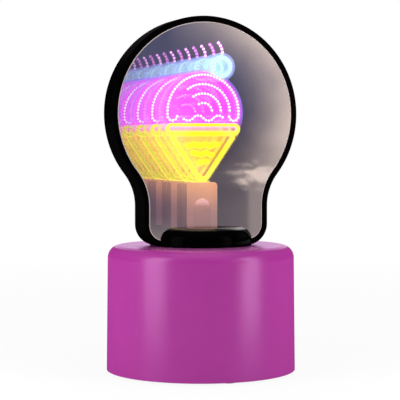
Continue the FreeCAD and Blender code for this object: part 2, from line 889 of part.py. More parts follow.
def make_scoop():
    centre = number("figure_centre")
    level = number(scoop_height)
    radius = number("scoop_radius")
    lip = number("scoop_lip_radius")
    tilt = number("scoop_tilt_angle")
    start = math.radians(-tilt)
    inner = radius - 2 * lip
    outline = walk(
        centre + inner * math.cos(start), level + inner * math.sin(start),
        -90 - tilt,
        [(lip, 180), (radius, 180 + 2 * tilt), (lip, 180)],
    )
    keep(light_tube("scoop_outline", outline), "scoop_outline")

    half = number("wave_half_width")
    count = int((inner - number("2 * tube_radius + tube_gap")) / half)
    moves = zigzag(count, half, number("wave_angle"))
    waves = walk(centre - count * half, number(wave_height), -number("wave_angle"), moves)
    keep(light_tube("scoop_wave", waves), "scoop_wave")

    # the swirls stand in line above the wave and share the scoop's centre
    swirls = []
    swirl_count = 3
    for index in range(1, swirl_count + 1):
        size = radius * index / (swirl_count + 1)
        edge = math.asin((number(swirl_foot) - level) / size)
        begin = math.degrees(edge)
        swirl = walk(
            centre + size * math.cos(edge), level + size * math.sin(edge),
            begin + 90,
            [(size, number("swirl_end_angle") - begin)],
        )
        swirls.append(light_tube(f"swirl_{index}", swirl))
    group("scoop_swirls", swirls)


def make_cone():
    path = document.addObject("Sketcher::SketchObject", "cone_rim_path")
    path.Placement.Rotation = FreeCAD.Rotation(vector(1, 0, 0), 90)
    bind(path, "Placement.Base.y", f"-{tube_plane}")
    slot(path, "figure_centre", rim_height, "rim_half_length", "rim_radius")
    keep(tube("cone_rim", path, 4, "tube_radius"), "cone_rim")

    centre = number("figure_centre")
    half = number("cone_half_width")
    top = number(cone_top)
    tip = number("cone_tip_radius")
    drop = number("cone_height")
    # the sides lean so that both touch the round tip
    reach = math.hypot(half, drop - tip)
    lean = math.degrees(math.atan2(drop - tip, half) + math.asin(tip / reach))
    side = math.sqrt(reach ** 2 - tip ** 2)
    sides = walk(centre - half, top, -lean, [(side, 0), (tip, 2 * lean), (side, 0)])
    keep(light_tube("cone_outline", sides), "cone_outline")

    rows = []
    row_count = 3
    wave = number("row_half_wave")
    slope = number("row_slope_angle")
    for index in range(1, row_count + 1):
        share = index / (row_count + 2)
        room = half * (1 - share) - number("row_margin")
        count = 2 * max(1, int(room / (2 * wave)))
        flip = 1 if index % 2 else -1
        moves = zigzag(count, wave, flip * slope)
        row_path = walk(centre - count * wave, top - share * drop, -flip * slope, moves)
        rows.append(light_tube(f"waffle_row_{index}", row_path))
    group("cone_waffle", rows)


def make_cherry():
    ring = document.addObject("Part::Torus", "cherry_ring")
    bind(ring, "Radius1", "cherry_radius")
    bind(ring, "Radius2", "tube_radius")
    ring.Placement.Rotation = FreeCAD.Rotation(vector(1, 0, 0), 90)
    place(ring, cherry_side, tube_plane, cherry_height)
    keep(ring, "cherry_ring")

    up = number(f"{cherry_height} + cherry_radius + tube_radius + stalk_gap")
    bend = [(number("stalk_radius"), number("stalk_angle"))]
    stalk = walk(number(cherry_side), up, 90, bend)
    keep(light_tube("cherry_stalk", stalk), "cherry_stalk")


# neck

def make_collar(label, side):
    """Half of the domed collar; side is 1 in front of the head and -1 behind it."""
    body = new_body(label)
    profile = front_sketch(body, "0")
    rectangle(profile, "0", "base_height", "collar_radius", "base_height + collar_height")
    disc = turn(body, profile)
    round_edges(body, disc, at_height("base_height + collar_height"), "collar_edge_radius")
    plane = f"({front_face} + slip_gap) * {side}"
    cut = front_sketch(body, plane)
    rectangle(
        cut,
        "-(collar_radius + base_wall)", "base_height - base_wall",
        "collar_radius + base_wall", "base_height + collar_height + base_wall",
    )
    pocket(body, cut, "2 * collar_radius", reverse=side < 0)
    holes = plan_sketch(body, "base_height")
    for across in both("collar_screw_side"):
        circle(holes, across, f"{-side} * collar_screw_forward", "base_screw_radius + slip_gap / 2")
    pocket(body, holes, "collar_screw_length - base_wall + slip_gap", reverse=True)
    keep(body, label)


def make_collar_screws():
    screws = []
    for across, forward in four_places("collar_screw_side", "collar_screw_forward"):
        item = screw(
            "collar_screw", "base_screw_radius", "base_screw_head_radius",
            "base_screw_head_height", "collar_screw_length",
        )
        place(item, across, forward, base_under)
        screws.append(item)
    group("collar_screws", screws)


def make_neck_strap():
    """Bent steel strap that goes under the foot of the head and up to the base's top."""
    body = new_body("neck_strap")
    outer = front_sketch(body, "-strap_half_depth")
    wing = f"({base_under} - strap_boss_length)"
    web = "(foot_half_width + slip_gap)"
    saddle = f"({foot_bottom} - slip_gap / 2)"
    polygon(outer, [
        ("-strap_reach", f"{wing} - strap_thickness"),
        (f"-({web} + strap_thickness)", f"{wing} - strap_thickness"),
        (f"-({web} + strap_thickness)", f"{saddle} - strap_thickness"),
        (f"{web} + strap_thickness", f"{saddle} - strap_thickness"),
        (f"{web} + strap_thickness", f"{wing} - strap_thickness"),
        ("strap_reach", f"{wing} - strap_thickness"),
        ("strap_reach", wing),
        (web, wing),
        (web, saddle),
        (f"-{web}", saddle),
        (f"-{web}", wing),
        ("-strap_reach", wing),
    ])
    pad(body, outer, "2 * strap_half_depth")
    holes = plan_sketch(body, wing)
    for side in both("strap_boss_side"):
        circle(holes, side, "0", "base_screw_radius + slip_gap")
    pocket(body, holes, "strap_thickness")
    duct = plan_sketch(body, saddle)
    circle(duct, "0", "-(stem_front - channel_depth / 2)", "cable_hole_radius")
    pocket(body, duct, "strap_thickness")
    keep(body, "neck_strap")

    screws = []
    for side in both("strap_boss_side"):
        item = screw(
            "strap_screw", "base_screw_radius", "base_screw_head_radius",
            "base_screw_head_height", "strap_boss_length",
        )
        place(item, side, "0", f"{wing} - strap_thickness")
        screws.append(item)
    group("strap_screws", screws)


# base

def make_base_shell():
    body = new_body("base_shell")
    profile = front_sketch(body, "0")
    polygon(profile, [
        ("base_radius - base_wall", "rim_clearance"),
        ("base_radius", "rim_clearance"),
        (base_top_radius, "base_height"),
        ("0", "base_height"),
        ("0", base_under),
        (f"{base_top_radius} - base_wall", base_under),
    ])
    drum = turn(body, profile)
    domed = round_edges(body, drum, at_height("base_height"), "base_edge_radius")
    round_edges(body, domed, at_height(base_under), "base_edge_radius - base_wall")
    foot = plan_sketch(body, "base_height")
    rectangle(
        foot,
        "-(foot_half_width + slip_gap)", "-(foot_half_depth + slip_gap)",
        "foot_half_width + slip_gap", "foot_half_depth + slip_gap",
    )
    pocket(body, foot, "base_wall")
    collar_holes = plan_sketch(body, "base_height")
    for across, back in four_places("collar_screw_side", "collar_screw_forward"):
        circle(collar_holes, across, back, "base_screw_radius + slip_gap")
    pocket(body, collar_holes, "base_wall")
    strap_bosses = plan_sketch(body, f"{base_under} - strap_boss_length")
    for side in both("strap_boss_side"):
        circle(strap_bosses, side, "0", "strap_boss_radius")
    pad(body, strap_bosses, "strap_boss_length + base_wall / 2")
    strap_holes = plan_sketch(body, f"{base_under} - strap_boss_length")
    for side in both("strap_boss_side"):
        circle(strap_holes, side, "0", "base_screw_radius + slip_gap / 2")
    pocket(body, strap_holes, "strap_boss_length - strap_thickness + slip_gap", reverse=True)
    bosses = plan_sketch(body, bottom_top)
    boss_holes = plan_sketch(body, bottom_top)
    for across, back in four_places(boss_side, boss_side):
        circle(bosses, across, back, "screw_boss_radius")
        circle(boss_holes, across, back, "base_screw_radius + slip_gap / 2")
    pad(body, bosses, "screw_boss_height")
    pocket(body, boss_holes, "base_screw_length", reverse=True)
    ports = front_sketch(body, f"-{board_back}")
    usb_end = "(usb_height / 2 + usb_margin)"
    slot(ports, "usb_side", usb_level, "(usb_width / 2 - usb_height / 2)", usb_end)
    half = "((knob_cap_width + switch_travel) / 2 + cell_clearance)"
    rise = "(knob_cap_height / 2 + cell_clearance)"
    rectangle(
        ports,
        f"switch_side - {half}", f"{switch_level} - {rise}",
        f"switch_side + {half}", f"{switch_level} + {rise}",
    )
    pocket(body, ports, f"base_radius - {board_back} + base_wall")
    keep(body, "base_shell")


def make_base_plate():
    body = new_body("base_plate")
    outline = plan_sketch(body, "rim_clearance")
    circle(outline, "0", "0", bottom_radius)
    pad(body, outline, "bottom_thickness")
    # battery opening, with a stop for the door at its far end
    window = plan_sketch(body, bottom_top)
    rectangle(
        window,
        f"-{bay_half_width}", f"-{bay_half_length}",
        bay_half_width, f"{bay_half_length} - door_stop_width",
    )
    pocket(body, window, "bottom_thickness")
    seat = plan_sketch(body, "rim_clearance")
    rectangle(
        seat,
        f"-{bay_half_width}", f"-{bay_half_length} + door_stop_width",
        bay_half_width, bay_half_length,
    )
    pocket(body, seat, "door_thickness + slip_gap / 2", reverse=True)
    # notches and bores for the door's hinge
    notches = plan_sketch(body, bottom_top)
    for side in both("pin_side"):
        rectangle(
            notches,
            f"{side} - knuckle_width / 2 - door_gap", f"-({pin_back} + knuckle_radius + door_gap)",
            f"{side} + knuckle_width / 2 + door_gap", f"-{bay_half_length} + door_gap",
        )
    pocket(body, notches, "bottom_thickness")
    for side in both("pin_side"):
        length = "(knuckle_width + 2 * pin_overhang + 2 * door_gap)"
        bore = side_sketch(body, f"{side} + {length} / 2")
        circle(bore, f"-{pin_back}", pin_level, "pin_radius + pin_clearance")
        pocket(body, bore, length)
    finger = plan_sketch(body, "rim_clearance")
    circle(finger, "0", bay_half_length, "finger_radius")
    pocket(body, finger, "finger_depth", reverse=True)
    # recesses for the feet and the screws
    feet = plan_sketch(body, "rim_clearance")
    for side in both(foot_pad_ring):
        circle(feet, side, "0", "foot_pad_radius + slip_gap")
        circle(feet, "0", side, "foot_pad_radius + slip_gap")
    pocket(body, feet, "foot_pad_thickness - rim_clearance", reverse=True)
    heads = plan_sketch(body, "rim_clearance")
    holes = plan_sketch(body, bottom_top)
    for across, back in four_places(boss_side, boss_side):
        circle(heads, across, back, "base_screw_head_radius + slip_gap")
        circle(holes, across, back, "base_screw_radius + slip_gap")
    pocket(body, heads, "base_screw_head_height + door_gap", reverse=True)
    pocket(body, holes, "bottom_thickness")
    # posts for the back of the control board
    posts = plan_sketch(body, f"{bottom_top} - slip_gap")
    bores = plan_sketch(body, board_height)
    for side in both("board_post_side"):
        circle(posts, side, post_back, "board_post_radius")
        circle(bores, side, post_back, "board_screw_radius + slip_gap / 2")
    pad(body, posts, f"{board_height} - {bottom_top} + slip_gap")
    pocket(body, bores, "board_screw_length")
    keep(body, "base_plate")


def make_battery_bay():
    body = new_body("battery_bay")
    outline = plan_sketch(body, bottom_top)
    rectangle(
        outline,
        f"-{bay_outer_width}", f"-{bay_outer_length}",
        bay_outer_width, bay_outer_length,
    )
    pad(body, outline, f"{bay_top} - {bottom_top}")
    hollow = plan_sketch(body, bottom_top)
    rectangle(
        hollow,
        f"-{bay_half_width}", f"-{bay_half_length}",
        bay_half_width, bay_half_length,
    )
    pocket(body, hollow, f"{bay_ceiling} - {bottom_top}", reverse=True)
    ribs = plan_sketch(body, f"{bay_ceiling} - bay_rib_width")
    for side in both(f"{cell_pitch} / 2"):
        rectangle(
            ribs,
            f"{side} - bay_rib_width / 2", f"-{bay_half_length}",
            f"{side} + bay_rib_width / 2", bay_half_length,
        )
    pad(body, ribs, "2 * bay_rib_width")
    slots = plan_sketch(body, bay_top)
    for side in both(cell_pitch):
        rectangle(
            slots,
            f"{side} - contact_width / 4 - slip_gap", f"-{bay_half_length}",
            f"{side} + contact_width / 4 + slip_gap",
            f"-{bay_half_length} + contact_thickness + slip_gap",
        )
    pocket(body, slots, "bay_wall")
    posts = plan_sketch(body, f"{bay_top} - slip_gap")
    bores = plan_sketch(body, board_height)
    for side in both("board_post_side"):
        circle(posts, side, post_front, "board_post_radius")
        circle(bores, side, post_front, "board_screw_radius + slip_gap / 2")
    pad(body, posts, f"{board_height} - {bay_top} + slip_gap")
    pocket(body, bores, "board_screw_length - board_thickness + slip_gap")
    keep(body, "battery_bay")


def make_battery_door():
    body = new_body("battery_door")
    near_edge = f"(-{pin_back} + pin_offset + door_near_gap)"
    panel = plan_sketch(body, "rim_clearance")
    rectangle(
        panel,
        f"-({bay_half_width} - door_gap)", near_edge,
        f"{bay_half_width} - door_gap", f"{bay_half_length} - door_gap",
    )
    pad(body, panel, "door_thickness")
    for side in both("pin_side"):
        knuckle = side_sketch(body, f"{side} - knuckle_width / 2")
        circle(knuckle, f"-{pin_back}", pin_level, "knuckle_radius")
        pad(body, knuckle, "knuckle_width")
        arm = side_sketch(body, f"{side} - knuckle_width / 2")
        rectangle(
            arm,
            f"-{pin_back}", f"{pin_level} - knuckle_radius",
            f"{near_edge} + door_thickness", "rim_clearance + door_thickness",
        )
        pad(body, arm, "knuckle_width")
        pin = side_sketch(body, f"{side} - knuckle_width / 2 - pin_overhang")
        circle(pin, f"-{pin_back}", pin_level, "pin_radius")
        pad(body, pin, "knuckle_width + 2 * pin_overhang")
    slits = plan_sketch(body, "rim_clearance")
    for side in both("latch_half_width"):
        rectangle(
            slits,
            f"{side} - latch_slit / 2", f"{bay_half_length} - latch_length",
            f"{side} + latch_slit / 2", bay_half_length,
        )
    pocket(body, slits, "door_thickness", reverse=True)
    thumb = plan_sketch(body, "rim_clearance")
    circle(thumb, "0", bay_half_length, "thumb_radius")
    pocket(body, thumb, "door_thickness / 2", reverse=True)
    keep(body, "battery_door")


def make_cells():
    for index, side in enumerate((f"-{cell_pitch}", "0", cell_pitch), 1):
        cell = new_body(f"battery_cell_{index}")
        profile = front_sketch(cell, "0")
        polygon(profile, [
            ("0", "0"),
            ("cell_radius", "0"),
            ("cell_radius", "cell_length"),
            ("cell_nub_radius", "cell_length"),
            ("cell_nub_radius", "cell_length + cell_nub_length"),
            ("0", "cell_length + cell_nub_length"),
        ])
        turn(cell, profile)
        # the middle cell points the other way; the plain ends press on the leaves
        start = f"({bay_half_length} - contact_thickness - slip_gap - cell_length - cell_nub_length)"
        points_back = index != 2
        cell.Placement.Rotation = FreeCAD.Rotation(vector(1, 0, 0), -90 if points_back else 90)
        place(cell, side, f"-{start}" if points_back else start, cell_height)
        keep(cell, f"battery_cell_{index}")


def make_contacts():
    """A flat plate meets each nub and a bent leaf meets each plain end."""
    plates = []
    leaves = []
    low = f"({cell_height} - contact_height / 2)"
    high = f"({cell_height} + contact_height / 2)"
    slant = "sqrt((contact_reach - contact_thickness) ^ 2 + contact_height ^ 2 / 4)"
    slant_depth = f"(2 * contact_thickness * {slant} / contact_height)"
    slant_height = f"(contact_thickness * {slant} / (contact_reach - contact_thickness))"
    for index, side in enumerate((f"-{cell_pitch}", "0", cell_pitch), 1):
        back = 1 if index != 2 else -1
        plate = new_body(f"contact_plate_{index}")
        face = front_sketch(plate, f"{-back} * {bay_half_length}")
        rectangle(face, f"{side} - contact_width / 2", low, f"{side} + contact_width / 2", high)
        pad(plate, face, "contact_thickness", reverse=back < 0)
        plates.append(plate)
        # the outer leaves end in a tab above the bay, for the leads
        leaf = new_body(f"contact_leaf_{index}")
        profile = side_sketch(leaf, f"{side} - contact_width / 4")
        end = f"({bay_top} + tab_rise)" if index != 2 else f"({bay_ceiling} - slip_gap)"
        inner = f"{-back} * ({bay_half_length} - contact_thickness)"
        polygon(profile, [
            (f"{-back} * {bay_half_length}", end),
            (f"{-back} * {bay_half_length}", low),
            (inner, low),
            (f"{-back} * ({bay_half_length} - contact_reach)", cell_height),
            (inner, high),
            (inner, f"{high} - {slant_height}"),
            (f"{-back} * ({bay_half_length} - contact_reach + {slant_depth})", cell_height),
            (inner, f"{low} + {slant_height}"),
            (inner, end),
        ])
        pad(leaf, profile, "contact_width / 2")
        leaves.append(leaf)
    group("contact_plates", plates)
    group("contact_leaves", leaves)


def make_feet():
    spots = {
        "rubber_foot_right": (foot_pad_ring, "0"),
        "rubber_foot_left": (f"-{foot_pad_ring}", "0"),
        "rubber_foot_front": ("0", foot_pad_ring),
        "rubber_foot_back": ("0", f"-{foot_pad_ring}"),
    }
    for label, (across, forward) in spots.items():
        body = new_body(label)
        outline = plan_sketch(body, "0")
        circle(outline, "0", "0", "foot_pad_radius")
        disc = pad(body, outline, "foot_pad_thickness")
        bevel_edges(body, disc, at_height("0"), "foot_pad_bevel")
        place(body, across, forward, "0")
        keep(body, label)


def make_base_screws():
    screws = []
    for across, forward in four_places(boss_side, boss_side):
        item = screw(
            "base_screw", "base_screw_radius", "base_screw_head_radius",
            "base_screw_head_height", "base_screw_length",
        )
        place(item, across, forward, "rim_clearance + base_screw_head_height + door_gap")
        screws.append(item)
    group("base_screws", screws)


# control board

def make_board():
    board = new_body("control_board")
    outline = plan_sketch(board, board_height)
    rectangle(outline, "-board_half_width", board_front, "board_half_width", board_back)
    pad(board, outline, "board_thickness")
    holes = plan_sketch(board, board_top)
    for side in both("board_post_side"):
        for back in (post_front, post_back):
            circle(holes, side, back, "board_screw_radius + slip_gap")
    pocket(board, holes, "board_thickness")
    keep(board, "control_board")

    screws = []
    for side in both("board_post_side"):
        for back in (post_front, post_back):
            item = screw(
                "board_screw", "board_screw_radius", "board_screw_head_radius",
                "board_screw_radius", "board_screw_length",
            )
            item.Placement.Rotation = FreeCAD.Rotation(vector(1, 0, 0), 180)
            place(item, side, f"-{back}", board_top)
            screws.append(item)
    group("board_screws", screws)

    chip = new_body("driver_chip")
    outline = plan_sketch(chip, board_top)
    rectangle(
        outline,
        "-chip_width / 2", f"{post_back} - chip_inset - chip_length",
        "chip_width / 2", f"{post_back} - chip_inset",
    )
    pad(chip, outline, "chip_height")
    keep(chip, "driver_chip")

    can = new_body("capacitor")
    outline = plan_sketch(can, board_top)
    circle(outline, "board_post_side", f"{post_front} + capacitor_offset", "capacitor_radius")
    barrel = pad(can, outline, "capacitor_height")
    top = f"{board_top} + capacitor_height"
    round_edges(can, barrel, at_height(top), "capacitor_edge")
    keep(can, "capacitor")

    for label in ("led_connector", "battery_connector"):
        side = label + "_side"
        body = new_body(label)
        outline = plan_sketch(body, board_top)
        rectangle(
            outline,
            f"{side} - connector_width / 2", f"{post_front} - connector_length / 2",
            f"{side} + connector_width / 2", f"{post_front} + connector_length / 2",
        )
        pad(body, outline, "connector_height")
        keep(body, label)


def make_usb_socket():
    body = new_body("usb_socket")
    # the mouth follows the wall, which falls away beside the middle
    end = "sqrt((base_radius - usb_recess) ^ 2 - usb_side ^ 2)"
    outline = front_sketch(body, f"-({end} - usb_length)")
    slot(outline, "usb_side", usb_level, "(usb_width / 2 - usb_height / 2)", "(usb_height / 2)")
    pad(body, outline, "usb_length", reverse=True)
    hollow = front_sketch(body, f"-({end} - usb_length + usb_wall)")
    inner = "(usb_height / 2 - usb_wall)"
    slot(hollow, "usb_side", usb_level, "(usb_width / 2 - usb_height / 2)", inner)
    pocket(body, hollow, "usb_length")
    tongue = front_sketch(body, f"-({end} - usb_length + usb_wall / 2)")
    rectangle(
        tongue,
        "usb_side - usb_width / 2 + usb_height / 2", f"{usb_level} - usb_wall",
        "usb_side + usb_width / 2 - usb_height / 2", f"{usb_level} + usb_wall",
    )
    pad(body, tongue, "usb_length - 4 * usb_wall", reverse=True)
    keep(body, "usb_socket")


def make_switch():
    case = new_body("switch_case")
    outline = front_sketch(case, f"-{switch_back}")
    rectangle(
        outline,
        "switch_side - switch_width / 2", board_top,
        "switch_side + switch_width / 2", f"{board_top} + switch_height",
    )
    pad(case, outline, "switch_length")
    track = front_sketch(case, f"-({switch_back} - knob_stem_sink - door_gap)")
    half = "((knob_stem_width + switch_travel) / 2 + door_gap)"
    rise = "(knob_stem_height / 2 + slip_gap)"
    rectangle(
        track,
        f"switch_side - {half}", f"{switch_level} - {rise}",
        f"switch_side + {half}", f"{switch_level} + {rise}",
    )
    pocket(case, track, "knob_stem_sink + 2 * door_gap")
    keep(case, "switch_case")

    knob = new_body("switch_knob")
    rest = "(switch_side - switch_travel / 2)"
    stem = front_sketch(knob, f"-({switch_back} - knob_stem_sink)")
    rectangle(
        stem,
        f"{rest} - knob_stem_width / 2", f"{switch_level} - knob_stem_height / 2",
        f"{rest} + knob_stem_width / 2", f"{switch_level} + knob_stem_height / 2",
    )
    pad(knob, stem, f"knob_stem_sink + {knob_cap_front} - {switch_back} + slip_gap", reverse=True)
    cap = front_sketch(knob, f"-{knob_cap_front}")
    rectangle(
        cap,
        f"{rest} - knob_cap_width / 2", f"{switch_level} - knob_cap_height / 2",
        f"{rest} + knob_cap_width / 2", f"{switch_level} + knob_cap_height / 2",
    )
    block = pad(knob, cap, f"{knob_cap_back} - {knob_cap_front}", reverse=True)
    tip = number(knob_cap_back)
    bevel_edges(
        knob, block,
        lambda box: near(box.YMin, tip) and near(box.YMax, tip),
        "knob_bevel",
    )
    keep(knob, "switch_knob")


# wiring

def make_wiring():
    plug_top = number(connector_top)
    row = number(post_front)
    bend_limit = number("bend_radius")
    radius = number("cable_radius")
    plane = -number("stem_front - channel_depth + cable_radius + slip_gap")
    led_side = number("led_connector_side")
    # the cable crosses to its plug half way between the foot and the board
    crossing = (number(foot_bottom) + plug_top) / 2
    cable = [
        (0, plane, number(channel_top) - 2 * radius),
        (0, plane, crossing + radius),
        (led_side, row, crossing - radius),
        (led_side, row, plug_top),
    ]
    keep(bent_wire("head_cable", cable, "cable_radius", bend_limit), "head_cable")

    leads = []
    tab_top = number(f"{bay_top} + tab_rise")
    tab_back = -number(f"{bay_half_length} - contact_thickness / 2")
    rise = number("lead_rise")
    for side in (-1, 1):
        across = side * number(cell_pitch)
        plug = number("battery_connector_side") + side * number("lead_side")
        middle_height = (tab_top + plug_top) / 2 + rise + number("lead_bow")
        points = [
            (across, tab_back, tab_top),
            (across, tab_back, tab_top + rise),
            ((across + plug) / 2, (tab_back + row) / 2, middle_height),
            (plug, row, plug_top + rise),
            (plug, row, plug_top),
        ]
        leads.append(bent_wire("battery_lead", points, "lead_radius", bend_limit))
    group("battery_leads", leads)


make_head_shell()
make_front_bezel()
make_panes()
make_chamber_liner()
make_head_screws()
make_stem()
make_figure_plate()
make_scoop()
make_cone()
make_cherry()
make_collar("collar_front", 1)
make_collar("collar_back", -1)
make_collar_screws()
make_neck_strap()
make_base_shell()
make_base_plate()
make_battery_bay()
make_battery_door()
make_cells()
make_contacts()
make_feet()
make_base_screws()
make_board()
make_usb_socket()
make_switch()
make_wiring()
document.removeObject(gauge.Name)
document.recompute()

for item in document.Objects:
    if "Invalid" in item.State or "Error" in item.State:
        raise RuntimeError(f"{item.Label} failed: {item.State}")

os.makedirs("parts", exist_ok=True)
for item in parts:
    if item.Shape.isNull() or not item.Shape.isValid():
        raise RuntimeError(f"{item.Label} has no sound shape")
    item.Shape.exportStep(f"parts/{item.Label}.step")
    print(f"{item.Label}: {len(item.Shape.Solids)} solids, {item.Shape.Volume:.0f} mm3")
print(f"{len(parts)} sub-parts")
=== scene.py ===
import bpy
import bmesh
import math
from mathutils import Matrix, Vector


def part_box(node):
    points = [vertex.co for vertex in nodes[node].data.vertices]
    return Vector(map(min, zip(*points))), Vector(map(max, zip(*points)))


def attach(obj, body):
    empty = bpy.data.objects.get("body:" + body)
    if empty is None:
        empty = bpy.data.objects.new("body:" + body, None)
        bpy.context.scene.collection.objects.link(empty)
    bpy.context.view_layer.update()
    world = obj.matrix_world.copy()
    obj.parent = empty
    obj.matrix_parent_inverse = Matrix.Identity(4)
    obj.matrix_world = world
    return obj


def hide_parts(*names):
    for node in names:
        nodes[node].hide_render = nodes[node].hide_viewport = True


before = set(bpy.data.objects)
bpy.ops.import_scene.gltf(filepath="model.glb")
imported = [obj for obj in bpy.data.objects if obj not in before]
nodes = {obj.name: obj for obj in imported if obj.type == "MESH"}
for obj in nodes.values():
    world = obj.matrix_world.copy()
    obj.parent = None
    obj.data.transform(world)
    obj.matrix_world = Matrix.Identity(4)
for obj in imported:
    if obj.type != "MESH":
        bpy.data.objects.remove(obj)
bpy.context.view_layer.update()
scene = bpy.context.scene
mm = 0.001
print("frame loaded,", len(nodes), "nodes")


def boxInMm(name):
    # the lowest and highest corner of a node, and its middle
    low, high = (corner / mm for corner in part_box(name))
    return low, high, (low + high) / 2


# small helpers for node trees

def startTree(owner):
    # the helpers below work in the tree that was started last
    global tree
    owner.use_nodes = True
    tree = owner.node_tree
    tree.nodes.clear()
    return owner


def startMaterial(name):
    return startTree(bpy.data.materials.new(name))


def add(kind, inputs=None, output=0, **settings):
    # makes a shader node and hands on one of its outputs
    node = tree.nodes.new("ShaderNode" + kind)
    for key, value in settings.items():
        setattr(node, key, value)
    for key, value in (inputs or {}).items():
        socket = node.inputs[key]
        if isinstance(value, bpy.types.NodeSocket):
            tree.links.new(value, socket)
        elif socket.type == "RGBA":
            socket.default_value = (*value, 1)
        else:
            socket.default_value = value
    return node.outputs[output]


def finish(owner, shader, kind="OutputMaterial"):
    # ends the node tree of a material, or of the world
    output = tree.nodes.new("ShaderNode" + kind)
    tree.links.new(shader, output.inputs["Surface"])
    return owner


def calc(operation, *values, clamp=False):
    # one operation over two values or more
    result = values[0]
    for value in values[1:] or (0.0,):
        result = add("Math", {0: result, 1: value}, operation=operation, use_clamp=clamp)
    return result


def times(*values):
    return calc("MULTIPLY", *values)


def plus(*values):
    return calc("ADD", *values)


def most(*values):
    return calc("MAXIMUM", *values)


def surface(output):
    # where the surface lies, where it faces, or whether it is seen from behind
    return add("NewGeometry", output=output)


def along(vector, axis):
    return add("SeparateXYZ", {0: vector}, axis)


def awayFrom(place, middle, scale=(1, 1, 1)):
    # distance from a middle, with each axis scaled first
    offset = add("VectorMath", {0: place, 1: middle}, operation="SUBTRACT")
    scaled = add("VectorMath", {0: offset, 1: scale}, operation="MULTIPLY")
    return add("VectorMath", {0: scaled}, "Value", operation="LENGTH")


def span(value, low, high, toLow=0.0, toHigh=1.0):
    return add("MapRange", {
        "Value": value, "From Min": low, "From Max": high, "To Min": toLow, "To Max": toHigh,
    }, "Result")


def blended(factor, first, second, kind="RGBA"):
    return add("Mix", {"Factor": factor, "A": first, "B": second}, "Result", data_type=kind)


def ramp(factor, stops):
    # each stop is a place from 0 to 1 and a colour
    colour = add("ValToRGB", {"Fac": factor}, "Color")
    bar = colour.node.color_ramp
    while len(bar.elements) < len(stops):
        bar.elements.new(0.5)
    for element, (place, tone) in zip(bar.elements, stops):
        element.position = place
        element.color = (*tone, 1)
    return colour


def noise(scale, detail=2, rough=0.5, stretch=None):
    place = add("TexCoord", output="Object")
    if stretch:
        place = add("Mapping", {"Vector": place, "Scale": stretch})
    return add("TexNoise", {
        "Vector": place, "Scale": scale, "Detail": detail, "Roughness": rough,
    }, "Fac")


def uneven(low, high, scale, detail=3, rough=0.5, stretch=None, swing=0.2):
    # a value that wanders from low to high over the surface
    field = noise(scale, detail, rough, stretch)
    return span(field, 0.5 - swing, 0.5 + swing, low, high)


def mottled(field, dark, light):
    return ramp(field, [(0.3, dark), (0.7, light)])


def bumped(height, depth, strength):
    return add("Bump", {"Height": height, "Distance": depth, "Strength": strength})


def skinBump(scale, depth, strength):
    # the fine skin of a moulded, cast or drawn surface
    return bumped(noise(scale), depth, strength)


def mixShader(factor, first, second):
    return add("MixShader", {0: factor, 1: first, 2: second})


def clearShader(tint=(1, 1, 1)):
    return add("BsdfTransparent", {"Color": tint})


def glowShader(colour, strength=1.0):
    return add("Emission", {"Color": colour, "Strength": strength})


def glossShader(colour, roughness, skin):
    return add("BsdfGlossy", {"Color": colour, "Roughness": roughness, "Normal": skin})


def solidShader(colour, roughness, specular, skin):
    return add("BsdfPrincipled", {
        "Base Color": colour, "Roughness": roughness, "Specular IOR Level": specular, "Normal": skin,
    })


# plastics and lacquers

def variedSkin(look):
    # tone and gloss that vary a little, and the fine skin on them
    tone = mottled(noise(look["toneScale"], 3), *look["tones"])
    gloss = uneven(*look["roughness"], look["toneScale"] * 2.3, 4, swing=0.15)
    return tone, gloss, skinBump(*look["skin"])


def mouldedPlastic(name, look):
    material = startMaterial(name)
    tone, gloss, skin = variedSkin(look)
    return finish(material, solidShader(tone, gloss, look["specular"], skin))


def lacquered(name, look):
    # a coloured body under a thin, weak gloss
    material = startMaterial(name)
    tone, gloss, skin = variedSkin(look)
    body = add("BsdfDiffuse", {"Color": tone, "Normal": skin})
    shine = glossShader(look["shineTint"], gloss, skin)
    edge = add("Fresnel", {"IOR": look["ior"], "Normal": skin})
    # painted shade and painted highlight: the walls are given far less reflection than the faces that
    # look up, back or right, so the walls stay dark while those faces shine
    normal = surface("Normal")
    up = along(normal, "Z")
    backOrRight = most(along(normal, "X"), along(normal, "Y"))
    rear = span(backOrRight, *look["rearTurn"])
    share = most(span(up, *look["turn"], look["wallShine"], look["topShine"]),
                 times(rear, look["rearShine"]))
    limit = most(span(up, *look["turn"], look["wallLimit"], 1.0), times(rear, look["rearLimit"]))
    share = calc("MINIMUM", times(edge, share), limit)
    return finish(material, mixShader(share, body, shine))


# turn, shine and limit paint light by the way a face looks: painted shade on the walls, painted
# highlights on the faces that look up, back or right
# skin is its scale, its depth and its strength
glossBlackLook = {
    "tones": ((0.0005, 0.0003, 0.0004), (0.0011, 0.0008, 0.0009)), "toneScale": 18,
    "roughness": (0.10, 0.18), "skin": (900, 0.06 * mm, 0.12), "ior": 1.45, "shineTint": (1, 1, 1),
    "turn": (0.5, 0.95), "wallShine": 0.01, "topShine": 0.02, "wallLimit": 0.0012,
    "rearTurn": (0.35, 0.8), "rearShine": 0.9, "rearLimit": 0.16,
}
# the collar gets a strong painted highlight on its top shoulder and darker painted shade on its walls
collarLook = dict(glossBlackLook, roughness=(0.05, 0.09), topShine=1.0, turn=(0.78, 0.98),
                  wallLimit=0.0004, rearShine=0.3, rearLimit=0.012)
magentaLook = {
    "tones": ((0.313, 0.0245, 0.231), (0.325, 0.0260, 0.241)), "toneScale": 60,
    "roughness": (0.25, 0.27), "skin": (1800, 0.02 * mm, 0.07), "ior": 1.5,
    "shineTint": (1.0, 0.66, 1.0),
    "turn": (0.85, 0.985), "wallShine": 0.95, "topShine": 0.85, "wallLimit": 0.032,
    "rearTurn": (0.35, 0.8), "rearShine": 0.95, "rearLimit": 0.032,
}
mattBlackLook = {
    "tones": ((0.012, 0.012, 0.013), (0.022, 0.021, 0.021)), "toneScale": 40,
    "roughness": (0.45, 0.62), "skin": (2600, 0.05 * mm, 0.35), "specular": 0.35,
}
